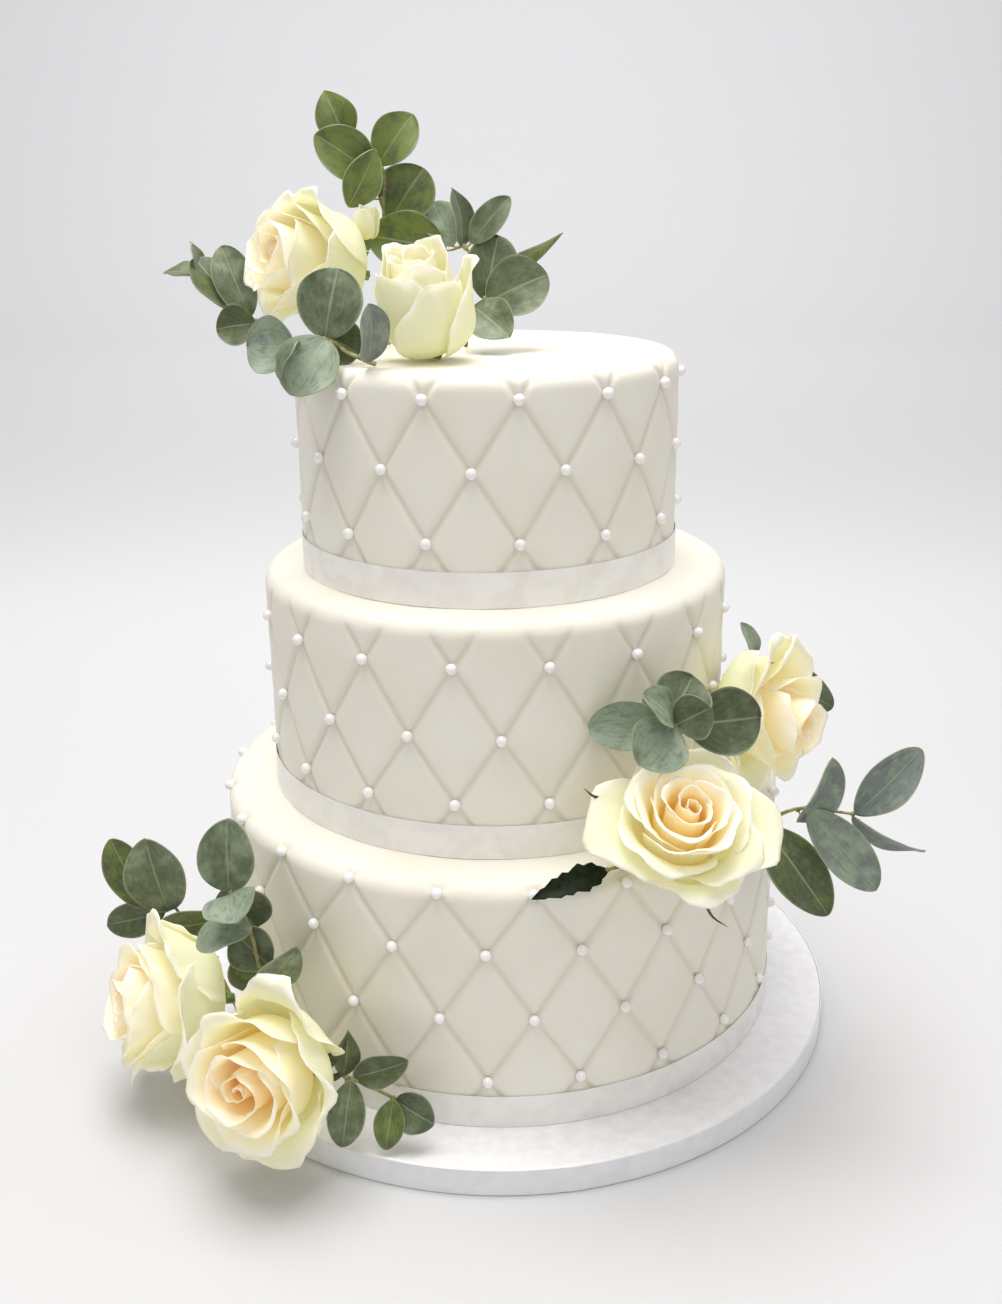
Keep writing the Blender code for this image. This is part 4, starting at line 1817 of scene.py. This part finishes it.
SPRIGS = (
    Sprig(
        "eucalyptus_top_upright",
        ((-49, 12, 323.4), (-48, 13, 360), (-49, 13, 379), (-50, 9, 402), (-62, 14, 410)),
        (
            Leaf((-64, 14, 409), (-73, 18, 430), 18, form=LeafForm.POINTED, tone=0.04),
            Leaf((-53, 8, 396), (-76, 2, 412), 22, form=LeafForm.OVAL, tone=0.02),
            Leaf((-50, 10, 400), (-35, 14, 420), 20, form=LeafForm.OVAL, tone=0.05),
            Leaf((-63, -1, 383), (-51, 4, 406), 17, 30, form=LeafForm.POINTED, tone=0.06),
            Leaf((-46, 13, 377), (-31, 17, 398), 26, tone=0.12),
        ),
    ),
    Sprig(
        "eucalyptus_top_right",
        ((-14, 0, 323.4), (-12, 0, 335), (-5, -5, 343), (-6, 2, 356), (-14, 4, 366)),
        (
            Leaf((-19, 6, 366), (-28, 16, 384), 17, tone=0.68),
            Leaf((-15, 4, 366), (-19, 8, 390), 17, 54, form=LeafForm.POINTED, tone=0.33),
            Leaf((-11, 4, 367), (6, 8, 386), 13, form=LeafForm.OVAL, tone=0.44),
            Leaf((-5, -3, 344), (1, 9, 370), 22, tone=0.30),
            Leaf((-3, 3, 356), (29, 4, 371), 10, 62, form=LeafForm.LANCE, tone=0.1),
            Leaf((-4, -6, 343), (22, -4, 354), 26, tone=0.45),
            Leaf((-10, -5, 341), (5, -24, 330), 20, tone=0.46),
            Leaf((-22, 8, 364), (-56, 6, 371), 26, -10, form=LeafForm.OVAL, tone=0.04),
        ),
    ),
    Sprig(
        "eucalyptus_top_left",
        ((-80, 1, 323.4), (-96, 2, 328), (-105, -4, 336), (-119, 0, 343), (-131, 3, 356)),
        (
            Leaf((-108, -2, 338), (-120, 7, 367), 18, tone=0.5),
            Leaf((-117, 0, 341), (-132, 6, 362), 22, 36, tone=0.18),
            Leaf((-131, 3, 356), (-133, 6, 369), 12, 75, form=LeafForm.POINTED, tone=0.4),
            Leaf((-131, 2, 355), (-146, 6, 356), 14, 50, form=LeafForm.POINTED, tone=0.25),
            Leaf((-105, -6, 335), (-122, -7, 333), 18, tone=0.25),
        ),
    ),
    Sprig(
        "eucalyptus_top_front",
        ((-49, -59, 323.8), (-60, -55, 328), (-70, -51, 333), (-82, -53, 330)),
        (
            Leaf((-70, -50, 333), (-64, -42, 360), 27, tone=0.44),
            Leaf((-69, -52, 333), (-83, -65, 313), 25, tone=0.72),
            Leaf((-82, -53, 330), (-102, -47, 330), 24, tone=0.80),
            Leaf((-79, -58, 333), (-87, -63, 319), 17, 62, tone=0.55),
            Leaf((-52, -62, 325), (-50, -66, 348), 18, 55, tone=0.95),
            Leaf((-70, -46, 334), (-57, -44, 326), 19, tone=0.24),
        ),
    ),
    Sprig(
        "eucalyptus_middle_cluster",
        ((76, -79, 150), (74, -90, 176), (68, -112, 189)),
        (
            Leaf((65, -108, 187), (35, -104, 184), 20, tone=0.74),
            Leaf((68, -113, 188), (54, -125, 176), 25, tone=0.72),
            Leaf((68, -114, 189), (55, -117, 203), 18, 50, tone=0.6),
            Leaf((66, -111, 189), (77, -100, 204), 24, tone=0.45),
            Leaf((66, -107, 189), (60, -99, 199), 13, tone=0.2),
            Leaf((69, -114, 189), (82, -117, 197), 19, tone=0.36),
            Leaf((74, -103, 184), (106, -95, 184), 28, tone=0.30),
        ),
    ),
    Sprig(
        "eucalyptus_middle_right",
        ((108, -70, 126.8), (115, -84, 133), (126, -98, 144), (138, -95, 141), (148, -92, 138)),
        (
            Leaf((123, -99, 138), (136, -99, 167), 19, 38, form=LeafForm.OVAL, tone=0.95, cup=0.3),
            Leaf((127, -99, 144), (157, -105, 109), 20, form=LeafForm.OVAL, tone=0.88),
            Leaf((149, -92, 138), (177, -84, 164), 20, form=LeafForm.OVAL, tone=0.97),
            Leaf((148, -92, 137), (181, -90, 119), 16, 72, form=LeafForm.POINTED, tone=1.0),
            Leaf((112, -90, 131), (136, -110, 100), 23, form=LeafForm.OVAL, tone=0.24),
        ),
    ),
    Sprig(
        "eucalyptus_middle_behind",
        ((112, 8, 126.8), (116, 2, 160), (122, -4, 176)),
        (
            Leaf((120, -2, 175), (113, -4, 195), 14, 50, form=LeafForm.POINTED, tone=0.8),
            Leaf((122, -4, 176), (158, -8, 153), 18, tone=0.4),
        ),
    ),
    Sprig(
        "eucalyptus_lower_left",
        ((-130, -44, 13.3), (-142, -44, 45), (-156, -47, 74)),
        (
            Leaf((-167, -46, 72), (-183, -42, 105), 20, tone=0.14),
            Leaf((-157, -49, 71), (-165, -48, 108), 28, tone=0.48),
            Leaf((-160, -47, 69), (-189, -42, 60), 17, form=LeafForm.OVAL, tone=0.3),
            Leaf((-163, -49, 62), (-125, -59, 74), 18, 20, form=LeafForm.OVAL, tone=0.2),
        ),
    ),
    Sprig(
        "eucalyptus_lower_upright",
        (
            (-99, -99, 13.3),
            (-104, -104, 50),
            (-103, -117, 83),
            (-107, -114, 102),
            (-114, -108, 113),
        ),
        (
            Leaf((-115, -107, 113), (-114, -104, 145), 24, tone=0.52),
            Leaf((-117, -106, 114), (-106, -101, 92), 26, tone=0.36),
            Leaf((-113, -111, 114), (-109, -128, 110), 24, tone=0.78),
            Leaf((-105, -116, 101), (-127, -122, 95), 18, 50, tone=0.7),
            Leaf((-99, -116, 83), (-113, -112, 97), 20, tone=0.4),
            Leaf((-104, -108, 88), (-108, -102, 58), 24, form=LeafForm.POINTED, tone=0.16),
            Leaf((-102, -119, 76), (-85, -127, 98), 17, 35, form=LeafForm.OVAL, tone=0.6),
        ),
    ),
    Sprig(
        "eucalyptus_lower_right",
        ((-69, -120, 13.3), (-68, -124, 30), (-64, -138, 42), (-55, -139, 38), (-47, -139, 33)),
        (
            Leaf((-68, -135, 41), (-66, -127, 58), 12, 30, form=LeafForm.LANCE, tone=0.24),
            Leaf((-63, -138, 43), (-40, -142, 53), 14, form=LeafForm.OVAL, tone=0.33),
            Leaf((-64, -139, 42), (-68, -148, 16), 16, form=LeafForm.OVAL, tone=0.45),
            Leaf((-47, -140, 33), (-50, -150, 16), 13, form=LeafForm.OVAL, tone=0.1),
            Leaf((-46, -139, 32), (-30, -147, 26), 17, tone=0.32),
        ),
    ),
)

LOOSE_SEPALS = (
    Sepal(
        "rose_middle_front",
        ((72, -118, 140), (77, -134, 127), (80, -138, 117), (90, -139, 113)),
        3.4,
    ),
    Sepal(
        "rose_middle_front",
        ((56, -106, 148), (44, -115, 157), (37, -119, 160), (32, -121, 165)),
        3.0,
    ),
    Sepal(
        "rose_lower_front",
        ((-80, -138, 50), (-75, -141, 51), (-69, -142, 57), (-64, -140, 64)),
        9.0,
    ),
    Sepal(
        "rose_lower_front",
        ((-80, -138, 48), (-75, -141, 45), (-70, -143, 46), (-64, -141, 52)),
        7.0,
    ),
)

ROSE_LEAF = Sprig(
    "rose_leaf_serrated",
    ((52, -114, 127.6), (42, -122, 129)),
    (Leaf((42, -122, 129), (11, -138, 125), 13, 20, form=LeafForm.SERRATED, tone=0.3),),
)


def main() -> None:
    """Build the cake from the board up, then the flowers, then the studio."""
    logging.basicConfig(level=logging.INFO, format="%(name)s: %(message)s")
    satin = SatinRibbon("ivory_satin", "#FCFAF5", "#F3F0EA", 0.42).material()
    white_satin = SatinRibbon("white_satin", "#F4F4F6", "#EDEDF0", 0.38).material()
    CakeBoard().make(BoardFoil().material(), white_satin)
    fondant = RolledFondant().material()
    pearl = SugarPearl().material()
    for tier in TIERS:
        tier.make(fondant, pearl, satin)
    petal = RosePetal(
        "cream_rose_petal",
        young=((0.34, "#F5CE66"), (0.74, "#F9E298"), (0.90, "#FCF1CA"), (0.98, "#FFFCF2")),
        peached_and_shaded=((0.34, "#E0902A"), (0.74, "#F4CA74"), (0.90, "#FBE8B6"), (0.98, "#FFFAE8")),
        grown=((0.30, "#F7E293"), (0.62, "#FAF1CA"), (0.85, "#FDFAEC"), (0.98, "#FFFEFA")),
        old=((0.25, "#EEEDBE"), (0.55, "#F1F3D8"), (0.92, "#F5F6E4"), (0.99, "#FFFFFC")),
        glow="#FFFAE8",
    ).material()
    calyx = GreenStalk("rose_calyx", "#8BA05A", "#5E7440").material()
    for rose in ROSES:
        rose.make(petal, calyx)
    brown_green = GreenStalk("dry_sepal", "#5C6133", "#39361C").material()
    for sepal in LOOSE_SEPALS:
        sepal.make(brown_green)
    leaf = EucalyptusLeaf().material()
    stalk = GreenStalk("eucalyptus_stalk", "#A7A46A", "#76733F").material()
    for sprig in SPRIGS:
        sprig.make(leaf, stalk, "eucalyptus_leaf")
    dark_leaf = GreenStalk("rose_leaf_blade", "#1D2A12", "#0E1608", 0.15).material()
    ROSE_LEAF.make(dark_leaf, stalk, "rose_leaf")
    Studio().make()


if __name__ == "__main__":
    main()
